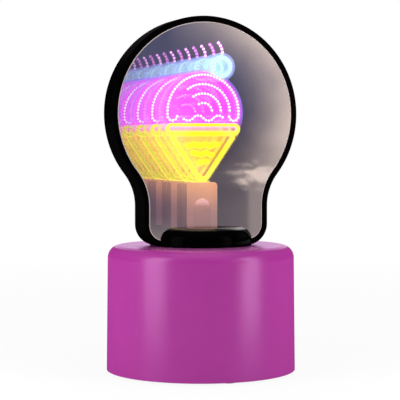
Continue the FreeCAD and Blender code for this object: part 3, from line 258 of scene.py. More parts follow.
linerLook = {
    "tones": ((0.003, 0.003, 0.0035), (0.006, 0.006, 0.007)), "toneScale": 160,
    "roughness": (0.75, 0.85), "skin": (3000, 0.1 * mm, 0.4), "specular": 0.05,
}
whitePlasticLook = {
    "tones": ((0.60, 0.58, 0.52), (0.68, 0.66, 0.60)), "toneScale": 60,
    "roughness": (0.38, 0.5), "skin": (2600, 0.04 * mm, 0.3), "specular": 0.4,
}
chipLook = {
    "tones": ((0.018, 0.018, 0.02), (0.03, 0.03, 0.033)), "toneScale": 300,
    "roughness": (0.5, 0.65), "skin": (6000, 0.03 * mm, 0.4), "specular": 0.35,
}
redWireLook = {
    "tones": ((0.45, 0.02, 0.015), (0.55, 0.03, 0.02)), "toneScale": 90,
    "roughness": (0.35, 0.5), "skin": (2600, 0.03 * mm, 0.2), "specular": 0.4,
}
glossBlack = lacquered("glossyBlackHousing", glossBlackLook)
collarBlack = lacquered("collarBlack", collarLook)
magentaSatin = lacquered("magentaBaseSatin", magentaLook)
mattBlack = mouldedPlastic("blackInnerPlastic", mattBlackLook)
linerBlack = mouldedPlastic("blackFlockedLiner", linerLook)
whitePlastic = mouldedPlastic("connectorPlastic", whitePlasticLook)
chipBlack = mouldedPlastic("chipEpoxy", chipLook)
wireRed = mouldedPlastic("leadSleeve", redWireLook)


# metals

def brushedMetal(name, look):
    material = startMaterial(name)
    grain = noise(look["grainScale"], 3, 0.6, look["stretch"])
    return finish(material, add("BsdfPrincipled", {
        "Base Color": mottled(grain, *look["tones"]), "Metallic": 1.0,
        "Roughness": span(grain, 0.3, 0.7, *look["roughness"]),
        "Normal": bumped(grain, *look["bump"]),
    }))


steelLook = {
    "tones": ((0.46, 0.46, 0.47), (0.62, 0.62, 0.63)), "roughness": (0.24, 0.36),
    "grainScale": 220, "stretch": (1, 1, 6), "bump": (0.04 * mm, 0.25),
}
copperLook = {
    "tones": ((0.66, 0.44, 0.24), (0.78, 0.55, 0.34)), "roughness": (0.2, 0.3),
    "grainScale": 400, "stretch": (1, 1, 1), "bump": (0.04 * mm, 0.25),
}
steel = brushedMetal("springSteel", steelLook)
copper = brushedMetal("contactCopper", copperLook)


# rubber, foam, board and cells

rubberLook = {
    "tones": ((0.012, 0.012, 0.012), (0.028, 0.028, 0.028)), "grit": 3200,
    "bump": (0.08 * mm, 0.5), "roughness": 0.75, "specular": 0.25,
}
foamLook = {
    "tones": ((0.02, 0.02, 0.022), (0.07, 0.07, 0.075)), "cells": 2400, "wallShare": 0.7,
    "bump": (0.1 * mm, 0.6), "roughness": 0.9, "specular": 0.1,
}


def rubberFinish(look):
    material = startMaterial("feetRubber")
    grit = noise(look["grit"], 3, 0.7)
    tone = mottled(grit, *look["tones"])
    return finish(material, solidShader(
        tone, look["roughness"], look["specular"], bumped(grit, *look["bump"])))


def foamFinish(look):
    material = startMaterial("mirrorFoamSheet")
    cells = add("TexVoronoi", {"Scale": look["cells"]}, "Distance")
    dark, light = look["tones"]
    tone = ramp(cells, [(0, dark), (look["wallShare"], light)])
    return finish(material, solidShader(
        tone, look["roughness"], look["specular"], bumped(cells, *look["bump"])))


boardLook = {
    "lacquer": (0.006, 0.10, 0.035), "track": (0.022, 0.20, 0.075), "via": (0.55, 0.50, 0.36),
    "trackPitch": 0.9, "trackPart": 7,            # half a track is this part of the pitch
    "patch": 150, "patchLevels": (0.55, 0.42),    # above and below which tracks run
    "viaPitch": 3.1, "viaRadius": 0.09,
    "bump": (0.04 * mm, 0.4), "roughness": (0.26, 0.34), "specular": 0.5,
}


def boardFinish(look):
    # green lacquer over copper tracks, which run one way in some patches and across in others
    material = startMaterial("boardLacquer")
    place = add("TexCoord", output="Object")
    field = noise(look["patch"], 0)
    pitch = look["trackPitch"] * mm

    def bars(axis, test, level):
        wave = calc("PINGPONG", along(place, axis), pitch / 2)
        lines = calc("LESS_THAN", wave, pitch / look["trackPart"])
        return times(lines, calc(test, field, level))

    above, below = look["patchLevels"]
    tracks = plus(bars("X", "GREATER_THAN", above), bars("Y", "LESS_THAN", below))
    cells = add("TexVoronoi", {"Vector": place, "Scale": 1000 / look["viaPitch"]}, "Distance")
    vias = calc("LESS_THAN", cells, look["viaRadius"])
    tone = blended(vias, blended(tracks, look["lacquer"], look["track"]), look["via"])
    gloss = span(field, 0.3, 0.7, *look["roughness"])
    relief = bumped(plus(tracks, vias), *look["bump"])
    return finish(material, solidShader(tone, gloss, look["specular"], relief))


cellLook = {
    "sleeve": (0.10, 0.105, 0.12), "band": (0.55, 0.56, 0.55), "filmRoughness": (0.2, 0.32),
    "steel": ((0.5, 0.5, 0.5), (0.66, 0.66, 0.65)), "steelRoughness": 0.3,
    "crimp": 1.1, "nub": 1.3, "bandFrom": 9, "bandWidth": 5,    # mm from the end with the nub
}


def cellFinish(name, look, node, nubBack):
    # a printed sleeve with one plain pale band, and steel at both ends
    material = startMaterial(name)
    depth = along(surface("Position"), "Y")
    low, high, _ = boxInMm(node)
    front = low.y + look["crimp"] + (0 if nubBack else look["nub"])
    back = high.y - look["crimp"] - (look["nub"] if nubBack else 0)
    far = look["bandFrom"] + look["bandWidth"]
    bandLow = high.y - far if nubBack else low.y + look["bandFrom"]

    def between(start, end):
        return times(calc("GREATER_THAN", depth, start * mm), calc("LESS_THAN", depth, end * mm))

    band = between(bandLow, bandLow + look["bandWidth"])
    film = add("BsdfPrincipled", {
        "Base Color": blended(band, look["sleeve"], look["band"]),
        "Roughness": uneven(*look["filmRoughness"], 300, 2), "Specular IOR Level": 0.5,
    })
    ends = add("BsdfPrincipled", {
        "Base Color": mottled(noise(500), *look["steel"]),
        "Metallic": 1.0, "Roughness": look["steelRoughness"],
    })
    return finish(material, mixShader(between(front, back), ends, film))


rubber = rubberFinish(rubberLook)
foam = foamFinish(foamLook)
boardGreen = boardFinish(boardLook)
print("plain finishes made")


# mirrors

mirrorLook = {
    "tint": (0.98, 0.98, 1.0),                   # what the pane lets through
    "film": 0.34, "smear": 0.02,                 # what it throws back to the room, and how that varies
    "haze": (0.028, 0.042), "wave": (55, 0.02 * mm, 0.25),
    "insideFilm": (0.87, 0.85, 0.88),            # what it throws back into the box
    "neckFilm": (0.66, 0.62, 0.74), "neckSpan": (92, 107),    # the same where the pane narrows
    "backDepth": 0.05, "silver": (0.94, 0.93, 0.94), "speck": (0.98, 1.0),
    # the ground bevel's own colour, and the painted glow on it
    "groundEdge": (0.55, 0.53, 0.56), "edgeLight": (0.62, 0.50, 0.45), "edgeGlow": 0.55,
    "bevelSlope": 45, "bevelSlack": 0.15,
}


def paneFinish(look):
    # a two-way mirror: it lets the room see in, and is a mirror to what is in the box
    material = startMaterial("twoWayMirror")
    place, turned = surface("Position"), surface("Backfacing")
    through = clearShader()
    # the front has a little grease and the faint wave of drawn sheet
    roomGloss = glossShader((1, 1, 1), uneven(*look["haze"], 70, swing=0.15), skinBump(*look["wave"]))
    smear = uneven(-look["smear"], look["smear"], 22, 3, 0.6)
    edge = add("LayerWeight", {"Blend": 0.25}, "Fresnel")
    share = most(edge, plus(smear, look["film"]))
    outer = mixShader(share, clearShader(look["tint"]), roomGloss)
    # painted glow: the bevel round the front is ground, and glows as a fine pale line that stands in
    # for light leaving the pane at its edge
    isBevel = add("Math", {
        0: along(surface("True Normal"), "Y"),
        1: -math.cos(math.radians(look["bevelSlope"])), 2: look["bevelSlack"],
    }, operation="COMPARE")
    ground = add("BsdfPrincipled", {
        "Base Color": look["groundEdge"], "Roughness": 0.6, "Specular IOR Level": 0.2,
        "Emission Color": look["edgeLight"], "Emission Strength": look["edgeGlow"],
    })
    front = mixShader(isBevel, mixShader(turned, outer, through), ground)
    # the film is on the back, and the room's side of it lets all light pass
    low, high = (level * mm for level in look["neckSpan"])
    film = blended(span(along(place, "Z"), low, high), look["neckFilm"], look["insideFilm"])
    inner = add("BsdfGlossy", {"Color": film, "Roughness": 0.0})
    back = mixShader(turned, inner, through)
    isBack = calc("GREATER_THAN", along(place, "Y"),
                  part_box("front_mirror_pane")[1].y - look["backDepth"] * mm)
    return finish(material, mixShader(isBack, front, back))


def silverFinish(look):
    material = startMaterial("silveredMirror")
    speck = uneven(*look["speck"], 700, 2, swing=0.15)
    silver = add("VectorMath", {0: look["silver"], "Scale": speck}, operation="SCALE")
    return finish(material, add("BsdfGlossy", {"Color": silver, "Roughness": 0.0}))


# clear pieces and lights

stemLook = {
    "foot": (0.27, 0.155, 0.145), "waist": (0.42, 0.21, 0.17), "head": (0.82, 0.42, 0.21),
    "waistShare": 0.55, "length": 36, "drift": 0.002,
    "glow": 1.0, "sideGlow": 0.62, "rearGlow": 0.2, "frontTurn": (-0.8, -0.3),
    "clear": 0.1, "clearTint": (0.95, 0.9, 0.9),
    "roughness": (0.18, 0.26), "skin": (1400, 0.03 * mm, 0.2),
    "crest": (1.22, 0.66, 0.62), "crestSpan": (4.4, 1.6),    # a painted highlight on the cover's domed end
}


def stemFinish(name, look, warmth, crestShare=0.0):
    # milky acrylic that carries light up from its foot
    material = startMaterial(name)
    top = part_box("light_stem")[1].z
    height = along(surface("Position"), "Z")
    cloud = uneven(-look["drift"], look["drift"], 90)
    level = span(plus(height, cloud), top - look["length"] * mm, top)
    tone = ramp(level, [(0.0, look["foot"]), (look["waistShare"], look["waist"]), (1.0, look["head"])])
    # the light leaves mostly at the front, so the mirrored back of the stem is darker
    facing = along(surface("True Normal"), "Y")
    side = span(level, 0.3, 1.0, look["rearGlow"] * warmth, look["sideGlow"] * warmth)
    glow = blended(span(facing, *look["frontTurn"], 1, 0), side, look["glow"] * warmth, "FLOAT")
    light = tone
    # painted highlight: the cover glows paler towards its domed top
    if crestShare:
        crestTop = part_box("stem_cover")[1].z
        foot, full = (crestTop - drop * mm for drop in look["crestSpan"])
        light = blended(span(height, foot, full, 0, crestShare), tone, look["crest"])
    milk = add("BsdfPrincipled", {
        "Base Color": tone, "Roughness": uneven(*look["roughness"], 140, swing=0.15),
        "Specular IOR Level": 0.5, "Emission Color": light, "Emission Strength": glow,
        "Normal": skinBump(*look["skin"]),
    })
    clear = clearShader(look["clearTint"])
    return finish(material, mixShader(look["clear"], milk, clear))


plateLook = {
    "upper": (1.0, 0.06, 0.92), "lower": (1.0, 0.50, 0.07), "fringe": (0.30, 0.16, 1.0),
    "upperClose": (1.0, 0.07, 1.0), "lowerClose": (1.0, 0.90, 0.004), "join": 2.0,
    "berry": (0.45, 0.85, 1.0), "berryReach": 3.0, "berryInset": 2.6, "berryClear": 0.12,
    # haze, spill and nearness set the painted glow of the tubes' light on the plate
    "haze": 0.22, "hazeGlow": 2.6, "patch": (0.6, 1.3),
    "spill": 1.2, "spillReach": 1.3, "spillShade": (0.90, 0.35), "nearness": 1.4,
    "fade": 6.0, "discFade": (0.6, 0.4), "wedgeFade": (0.3, 0.5), "fringeFade": 0.3,
    "gloss": 0.03, "roughness": (0.04, 0.07), "skin": (600, 0.02 * mm, 0.15),
}


def plateFinish(look):
    # a clear plate with a painted glow: the light of the tubes that lie on it is painted onto it as a
    # faint haze
    material = startMaterial("clearCarrierPlate")
    place = surface("Position")
    height = along(place, "Z")
    flat = (1, 0, 1)    # distances as seen from the front
    rimLow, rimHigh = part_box("cone_rim")
    split = span(height, rimLow.z, rimHigh.z + look["join"] * mm)
    # the painted haze fades out across the edge of the figure: a disc above and a wedge below
    fade = look["fade"] * mm
    scoopLow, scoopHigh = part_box("scoop_outline")
    radius, middle = (scoopHigh.x - scoopLow.x) / 2, (scoopLow.x + scoopHigh.x) / 2
    away = awayFrom(place, (middle, 0, scoopHigh.z - radius), flat)
    inner, outer = look["discFade"]
    disc = span(away, radius - fade * inner, radius + fade * outer, 1, 0)
    coneLow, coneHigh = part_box("cone_outline")
    slope = (coneHigh.x - coneLow.x) / 2 / (coneHigh.z - coneLow.z)
    aside = calc("ABSOLUTE", calc("SUBTRACT", along(place, "X"), middle))
    halfWidth = times(calc("SUBTRACT", height, coneLow.z), slope)
    inner, outer = look["wedgeFade"]
    wedge = span(calc("SUBTRACT", aside, halfWidth), -fade * inner, fade * outer, 1, 0)
    inside = most(times(disc, split), wedge)
    # the painted glow is violet at the rim of the scoop, and pale blue round the cherry
    tone = ramp(split, [(0.2, look["lower"]), (0.8, look["upper"])])
    rim = span(away, radius, radius + fade * look["fringeFade"])
    tone = blended(times(rim, split), tone, look["fringe"])
    berryLow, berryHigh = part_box("cherry_ring")
    berryEdge = (berryHigh.z - berryLow.z) / 2
    berry = awayFrom(place, (berryLow + berryHigh) / 2, flat)
    pale = span(berry, berryEdge, berryEdge + look["berryReach"] * mm, 1, 0)
    tone = blended(pale, tone, look["berry"])
    close = ramp(split, [(0.2, look["lowerClose"]), (0.8, look["upperClose"])])
    close = blended(pale, close, look["berry"])
    # painted glow, brightest close to the tubes, which are found by the shade they cast on the plate in
    # ambient occlusion; the cherry's middle stays clear
    shade = add("AmbientOcclusion", {"Distance": look["spillReach"] * mm}, "AO", samples=6)
    spill = times(span(shade, *look["spillShade"], 0, look["spill"]),
                  calc("SUBTRACT", 1.0, surface("Backfacing")),
                  span(berry, berryEdge - look["berryInset"] * mm, berryEdge, look["berryClear"], 1))
    patch = uneven(*look["patch"], 120, 3, 0.6)
    haze = times(patch, look["haze"], inside)
    nearness = calc("MULTIPLY", spill, look["nearness"], clamp=True)
    glow = glowShader(blended(nearness, tone, close), look["hazeGlow"])
    hazed = mixShader(calc("ADD", haze, spill, clamp=True), clearShader(), glow)
    gloss = glossShader((1, 1, 1), span(patch, *look["patch"], *look["roughness"]),
                        skinBump(*look["skin"]))
    return finish(material, mixShader(look["gloss"], hazed, gloss))


siliconeLook = {
    "sheen": 0.04, "roughness": (0.28, 0.42), "skin": (1600, 0.04 * mm, 0.3),
    "sleeveFlicker": (0.15, 600, 2), "beadFlicker": (0.1, 900, 1),    # reach, scale, detail
    "rearSpan": (0.3, 0.6),    # mm behind the middle, where the sleeve starts to hide the beads
}
pinkLook = {
    "sleeve": (0.95, 0.05, 0.95), "sleeveGlow": 1.3, "body": 0.35, "edge": 0.45, "rear": 0.75,
    "bead": (1.0, 0.85, 1.0), "beadGlow": 3.4,
}
yellowLook = {
    "sleeve": (1.0, 0.92, 0.004), "sleeveGlow": 1.6, "body": 0.75, "edge": 0.8, "rear": 0.95,
    "bead": (1.0, 1.0, 0.05), "beadGlow": 2.6,
}
whiteLook = {
    "sleeve": (0.50, 0.85, 1.0), "sleeveGlow": 1.5, "body": 0.7, "edge": 0.6, "rear": 0.95,
    "bead": (0.9, 1.0, 1.0), "beadGlow": 2.6,
}


def flickering(colour, strength, reach, scale, detail):
    # a glow that is a little brighter here and there
    flicker = uneven(1 - reach, 1 + reach, scale, detail)
    return glowShader(colour, times(flicker, strength))


def siliconeSheen(body, tint):
    # a weak, uneven sheen over what glows
    sheen = glossShader(tint, uneven(*siliconeLook["roughness"], 300, swing=0.15),
                        skinBump(*siliconeLook["skin"]))
    return mixShader(siliconeLook["sheen"], body, sheen)


def tubeFinish(name, look):
    # silicone sleeve that glows in its own colour; the beads show through it
    material = startMaterial(name)
    glow = flickering(look["sleeve"], look["sleeveGlow"], *siliconeLook["sleeveFlicker"])
    facing = add("LayerWeight", {"Blend": 0.5}, "Facing")
    shell = span(facing, 0.2, 1.0, look["body"], look["edge"])
    # the beads face the front: the rear half of the sleeve hides them
    middle = boxInMm("cone_rim")[2].y
    start, end = ((middle + behind) * mm for behind in siliconeLook["rearSpan"])
    rear = span(along(surface("Position"), "Y"), start, end)
    share = most(shell, times(rear, look["rear"]))
    body = mixShader(share, clearShader(), glow)
    return finish(material, siliconeSheen(body, look["sleeve"]))


def beadFinish(name, look):
    material = startMaterial(name)
    glow = flickering(look["bead"], look["beadGlow"], *siliconeLook["beadFlicker"])
    return finish(material, siliconeSheen(glow, look["bead"]))


paneMirror = paneFinish(mirrorLook)
silvered = silverFinish(mirrorLook)
stemMilk = stemFinish("milkyStem", stemLook, 1.0)
coverMilk = stemFinish("milkyStemCover", stemLook, 0.86, 0.9)
carrierClear = plateFinish(plateLook)
pinkSleeve = tubeFinish("pinkTubeSleeve", pinkLook)
yellowSleeve = tubeFinish("yellowTubeSleeve", yellowLook)
whiteSleeve = tubeFinish("whiteTubeSleeve", whiteLook)
pinkBead = beadFinish("pinkTubeBeads", pinkLook)
yellowBead = beadFinish("yellowTubeBeads", yellowLook)
whiteBead = beadFinish("whiteTubeBeads", whiteLook)
print("mirrors and lights made")


# finishes on the CAD nodes

dressing = {
    glossBlack: "head_shell front_bezel",
    collarBlack: "collar_front collar_back",
    linerBlack: "chamber_liner",
    mattBlack: "base_plate battery_bay battery_door switch_case switch_knob head_cable",
    magentaSatin: "base_shell",
    paneMirror: "front_mirror_pane",
    silvered: "back_mirror",
    foam: "mirror_foam",
    stemMilk: "light_stem",
    coverMilk: "stem_cover",
    carrierClear: "figure_plate",
    pinkSleeve: "scoop_outline scoop_wave scoop_swirls cherry_stalk",
    yellowSleeve: "cone_rim cone_outline cone_waffle",
    whiteSleeve: "cherry_ring",
    rubber: "pane_gasket rubber_foot_right rubber_foot_left rubber_foot_front rubber_foot_back",
    steel: "head_screws collar_screws neck_strap strap_screws base_screws board_screws usb_socket",
    copper: "contact_plates contact_leaves",
    boardGreen: "control_board",
    chipBlack: "driver_chip capacitor",
    whitePlastic: "led_connector battery_connector",
    wireRed: "battery_leads",
}
for index in (1, 2, 3):
    name = f"battery_cell_{index}"
    dressing[cellFinish(f"cellSleeve{index}", cellLook, name, index != 2)] = name
for material, names in dressing.items():
    for name in names.split():
        mesh = nodes[name].data
        mesh.materials.clear()
        mesh.materials.append(material)
        for polygon in mesh.polygons:
            polygon.use_smooth = True
print("nodes dressed")


# small helpers for pieces

def inRow(middle, count, pitch):
    # places of count things, set evenly about a middle
    return [middle + (index - (count - 1) / 2) * pitch for index in range(count)]


def meshObject(name, shape):
    mesh = bpy.data.meshes.new(name)
    shape.to_mesh(mesh)
    shape.free()
    thing = bpy.data.objects.new(name, mesh)
    scene.collection.objects.link(thing)
    return thing


def newPiece(name, shape, material, body="lamp"):
    piece = meshObject(name, shape)
    for polygon in piece.data.polygons:
        polygon.use_smooth = True
    piece.data.materials.append(material)
    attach(piece, body)
    return piece


def smallPiece(name, shape, material, body="lamp", sharp=35):
    # a piece from a mesh drawn in mm, with edges above so many degrees kept sharp
    bmesh.ops.remove_doubles(shape, verts=shape.verts, dist=0.0005)
    bmesh.ops.recalc_face_normals(shape, faces=shape.faces)
    bmesh.ops.scale(shape, vec=(mm, mm, mm), verts=shape.verts)
    piece = newPiece(name, shape, material, body)
    piece.data.set_sharp_from_angle(angle=math.radians(sharp))
    return piece


def skinned(shape, rings):
    # faces between neighbouring rings of points in mm, and over both ends
    rows = [[shape.verts.new(point) for point in ring] for ring in rings]
    for first, second in zip(rows, rows[1:]):
        for i in range(len(first)):
            j = (i + 1) % len(first)
            shape.faces.new((first[i], first[j], second[j], second[i]))
    shape.faces.new(rows[0][::-1])
    shape.faces.new(rows[-1])


def softBlock(shape, low, high, bevel):
    # a block between two corners in mm, with its edges rounded
    block = bmesh.new()
    bmesh.ops.create_cube(block, size=1)
    bmesh.ops.scale(block, vec=Vector(high) - Vector(low), verts=block.verts)
    bmesh.ops.translate(block, vec=(Vector(low) + Vector(high)) / 2, verts=block.verts)
    bmesh.ops.bevel(block, geom=block.edges[:], offset=bevel, segments=2, affect="EDGES", profile=0.6)
    mesh = bpy.data.meshes.new("block")
    block.to_mesh(mesh)
    block.free()
    shape.from_mesh(mesh)
    bpy.data.meshes.remove(mesh)


# light beads in the tubes

figureLook = {
    "beadRadius": 0.78, "pitch": 1.85,
    "scoopTilt": 6.0, "lip": 2.8, "swirlEnd": 128.0,
    "waveHalf": 3.0, "waveAngle": 52.0, "waveRoom": 0.4,
    "tipRadius": 3.4, "coneHalf": 18.2, "coneGap": 0.85,
    "rowHalf": 1.6, "rowSlope": 45.0, "rowMargin": 3.0,
    "stalkRadius": 9.0, "stalkAngle": 48.0,
}


def tracePath(across, up, heading, moves, step=0.05):
    # points in mm along straight runs (length, 0) and arcs (radius, turn in degrees)
    points = [(across, up)]
    angle = math.radians(heading)
    for size, bend in moves:
        run = size if bend == 0 else size * math.radians(abs(bend))
        count = max(2, int(run / step))
        turn = math.radians(bend) / count
        for _ in range(count):
            angle += turn / 2
            across += math.cos(angle) * run / count
            up += math.sin(angle) * run / count
            angle += turn / 2
            points.append((across, up))
    return points


def spaced(points, pitch, closed=False):
    # the same path, one point each pitch, stretched to fit a whole number of beads
    lengths = [math.dist(a, b) for a, b in zip(points, points[1:])]
    total = sum(lengths)
    inset = 0 if closed else figureLook["beadRadius"]
    count = max(1, round((total - 2 * inset) / pitch))
    places = [inset + (total - 2 * inset) * i / count for i in range(count + (0 if closed else 1))]
    out, gone, index = [], 0.0, 0
    for place in places:
        while index < len(lengths) - 1 and gone + lengths[index] < place:
            gone += lengths[index]
            index += 1
        share = (place - gone) / lengths[index]
        a, b = points[index], points[index + 1]
        out.append((a[0] + (b[0] - a[0]) * share, a[1] + (b[1] - a[1]) * share))
    return out


def zigzag(count, half, angle):
    radius = half / math.sin(math.radians(abs(angle)))
    return [(radius, 2 * angle if i % 2 == 0 else -2 * angle) for i in range(count)]


def scoopPaths(look):
    low, high, middle = boxInMm("scoop_outline")
    tube = (high.y - low.y) / 2
    centre, radius = middle.x, (high.x - low.x) / 2 - tube
    level = high.z - tube - radius
    lip, tilt = look["lip"], look["scoopTilt"]
    start = math.radians(-tilt)
    inner = radius - 2 * lip
    outline = tracePath(centre + inner * math.cos(start), level + inner * math.sin(start),
                        -90 - tilt, [(lip, 180), (radius, 180 + 2 * tilt), (lip, 180)])
    half, angle = look["waveHalf"], look["waveAngle"]
    count = int((inner - 2 * tube - look["waveRoom"]) / half)
    wave = tracePath(centre - count * half, boxInMm("scoop_wave")[2].z, -angle,
                     zigzag(count, half, angle))
    swirls = []
    foot = boxInMm("scoop_swirls")[0].z
    for index in (1, 2, 3):
        size = radius * index / 4
        edge = math.asin((foot - level) / size)
        swirls.append(tracePath(
            centre + size * math.cos(edge), level + size * math.sin(edge),
            math.degrees(edge) + 90, [(size, look["swirlEnd"] - math.degrees(edge))],
        ))
    return outline, wave, swirls


def conePaths(look):
    low, high, middle = boxInMm("cone_rim")
    tube = (high.y - low.y) / 2
    centre, level = middle.x, middle.z
    radius = (high.z - low.z) / 2 - tube
    half = (high.x - low.x) / 2 - tube - radius
    rim = tracePath(centre - half, level - radius, 0,
                    [(2 * half, 0), (radius, 180), (2 * half, 0), (radius, 180)])
    tip, coneHalf = look["tipRadius"], look["coneHalf"]
    bottom = boxInMm("cone_outline")[0].z + tube
    top = level - radius - tube - look["coneGap"]
    drop = top - bottom
    reach = math.hypot(coneHalf, drop - tip)
    lean = math.degrees(math.atan2(drop - tip, coneHalf) + math.asin(tip / reach))
    side = math.sqrt(reach ** 2 - tip ** 2)
    sides = tracePath(centre - coneHalf, top, -lean, [(side, 0), (tip, 2 * lean), (side, 0)])
    rows = []
    wave = look["rowHalf"]
    for index in (1, 2, 3):
        share = index / 5
        room = coneHalf * (1 - share) - look["rowMargin"]
        count = 2 * max(1, int(room / (2 * wave)))
        slope = look["rowSlope"] * (1 if index % 2 else -1)
        rows.append(tracePath(centre - count * wave, top - share * drop, -slope,
                              zigzag(count, wave, slope)))
    return rim, sides, rows


def cherryPaths(look):
    low, high, middle = boxInMm("cherry_ring")
    radius = (high.z - low.z) / 2 - (high.y - low.y) / 2
    ring = tracePath(middle.x + radius, middle.z, 90, [(radius, 360)])
    stalk = tracePath(middle.x, boxInMm("cherry_stalk")[0].z, 90,
                      [(look["stalkRadius"], look["stalkAngle"])])
    return ring, stalk


def beadString(name, paths, material, slotName, closed):
    depth = boxInMm("cone_rim")[2].y * mm
    shape = bmesh.new()
    for path in paths:
        for across, up in spaced(path, figureLook["pitch"], closed):
            bmesh.ops.create_icosphere(shape, subdivisions=2, radius=figureLook["beadRadius"] * mm,
                                       matrix=Matrix.Translation((across * mm, depth, up * mm)))
    newPiece(name, shape, material)


outline, wave, swirls = scoopPaths(figureLook)
rim, sides, rows = conePaths(figureLook)
ring, stalk = cherryPaths(figureLook)
beadStrings = {
    # name: paths, material, slot, whether the path is closed
    "scoopOutlineBeads": ([outline], pinkBead, "pink_light", False),
    "scoopWaveBeads": ([wave], pinkBead, "pink_light", False),
    "scoopSwirlBeads": (swirls, pinkBead, "pink_light", False),
    "cherryStalkBeads": ([stalk], pinkBead, "pink_light", False),
    "coneRimBeads": ([rim], yellowBead, "yellow_light", True),
    "coneOutlineBeads": ([sides], yellowBead, "yellow_light", False),
    "coneWaffleBeads": (rows, yellowBead, "yellow_light", False),
    "cherryRingBeads": ([ring], whiteBead, "white_light", True),
}
for name, values in beadStrings.items():
    beadString(name, *values)
print("beads strung")


# screws with a cross recess and a thread

screwLook = {
    # node: shank radius, head height, thread pitch, the way from head to tip
    "head_screws": (0.9, 0.85, 0.8, (0, -1, 0)),
    "collar_screws": (1.4, 1.6, 1.1, (0, 0, 1)),
    "base_screws": (1.4, 1.6, 1.1, (0, 0, 1)),
    "strap_screws": (1.4, 1.6, 1.1, (0, 0, 1)),
    "board_screws": (0.9, 0.9, 0.8, (0, 0, -1)),
}
screwCut = {
    "sides": 20, "ringsPerTurn": 4, "threadDepth": 0.2,
    "tipStart": 1.4, "tipWidth": 0.35,                     # in pitches from the tip, in shank radii
    "crown": ((0.70, 0), (0.88, 0.08), (0.97, 0.26), (1, 0.5), (1, 1)),    # shares of radius, height
    "armLength": 0.62, "armHalf": 0.15, "depth": 0.62,     # of the recess, in shares of the head
    "above": 0.3, "mouth": 1.08, "floor": 0.72,            # of the tool that cuts it
}


def looseBoxes(name):
    # the box of each separate solid of a node, in mm
    shape = bmesh.new()
    shape.from_mesh(nodes[name].data)
    bmesh.ops.remove_doubles(shape, verts=shape.verts, dist=0.000001)
    left, boxes = set(shape.verts), []
    while left:
        solid, fresh = set(), {left.pop()}
        while fresh:
            solid |= fresh
            fresh = {edge.other_vert(vert) for vert in fresh for edge in vert.link_edges} - solid
        left -= solid
        spread = list(zip(*(vert.co / mm for vert in solid)))
        boxes.append((Vector(map(min, spread)), Vector(map(max, spread))))
    shape.free()
    return sorted(boxes, key=lambda box: tuple(box[0]))


def skinnedObject(name, rings):
    shape = bmesh.new()
    skinned(shape, rings)
    bmesh.ops.recalc_face_normals(shape, faces=shape.faces)
    return meshObject(name, shape)


def screwBlank(look, headRadius, shankRadius, headHeight, length, pitch):
    # a turned screw that stands on the crown of its head, with its tip up
    turns = [math.tau * i / look["sides"] for i in range(look["sides"])]
    rings = [[(math.cos(a) * share * headRadius, math.sin(a) * share * headRadius, up * headHeight)
              for a in turns] for share, up in look["crown"]]
    run = length - headHeight
    count = int(run / pitch * look["ringsPerTurn"])
    tip = look["tipWidth"]
    for step in range(count + 1):
        up = headHeight + run * step / count
        slim = min(1, tip + (1 - tip) * (length - up) / (look["tipStart"] * pitch))
        ring = []
        for a in turns:
            phase = (up / pitch + a / math.tau) % 1
            radius = shankRadius * slim * (1 - look["threadDepth"] * abs(2 * phase - 1))
            ring.append((math.cos(a) * radius, math.sin(a) * radius, up))
        rings.append(ring)
    return skinnedObject("screwBlank", rings)


def crossTool(look, headRadius, headHeight):
    arm, half = look["armLength"] * headRadius, look["armHalf"] * headRadius
    plan = [(arm, half), (half, half), (half, arm), (-half, arm), (-half, half), (-arm, half),
            (-arm, -half), (-half, -half), (-half, -arm), (half, -arm), (half, -half), (arm, -half)]
    ends = ((-look["above"], look["mouth"]), (look["depth"] * headHeight, look["floor"]))
    rings = [[(x * size, y * size, up) for x, y in plan] for up, size in ends]
    return skinnedObject("crossTool", rings)


def crossScrews(node):
    shankRadius, headHeight, pitch, way = screwLook[node]
    way = Vector(way)
    boxes = looseBoxes(node)
    low, high = boxes[0]
    length = abs((high - low).dot(way))
    headRadius = (high.x - low.x) / 2
    blank = screwBlank(screwCut, headRadius, shankRadius, headHeight, length, pitch)
    tool = crossTool(screwCut, headRadius, headHeight)
    cut = blank.modifiers.new("crossRecess", "BOOLEAN")
    cut.object, cut.operation, cut.solver = tool, "DIFFERENCE", "EXACT"
    ready = blank.evaluated_get(bpy.context.evaluated_depsgraph_get())
    master = bpy.data.meshes.new_from_object(ready)
    for thing in (blank, tool):
        bpy.data.objects.remove(thing)
    shape = bmesh.new()
    turn = Vector((0, 0, 1)).rotation_difference(way).to_matrix().to_4x4()
    for low, high in boxes:
        crown = (low + high) / 2 - Vector(part * size / 2 for part, size in zip(way, high - low))
        placed = master.copy()
        placed.transform(Matrix.Translation(crown) @ turn)
        shape.from_mesh(placed)
        bpy.data.meshes.remove(placed)
    piece = smallPiece(node.replace("_screws", "") + "CrossScrews", shape, steel)
    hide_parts(node)


for node in screwLook:
    crossScrews(node)
print("screws cut")


# wire connectors with a keyed wall and an opening round each wire

connectorLook = {
    "bevel": 0.25, "splitShare": 0.45, "groove": 0.35, "overlap": 0.3,
    "ribWidth": 0.7, "ribInset": 1.0, "ribFoot": 0.2, "ribDrop": 0.8, "ribBevel": 0.12,
    "slot": (1.5, 1.7, 0.06), "slotShare": 0.2, "slotBevel": 0.025,
}


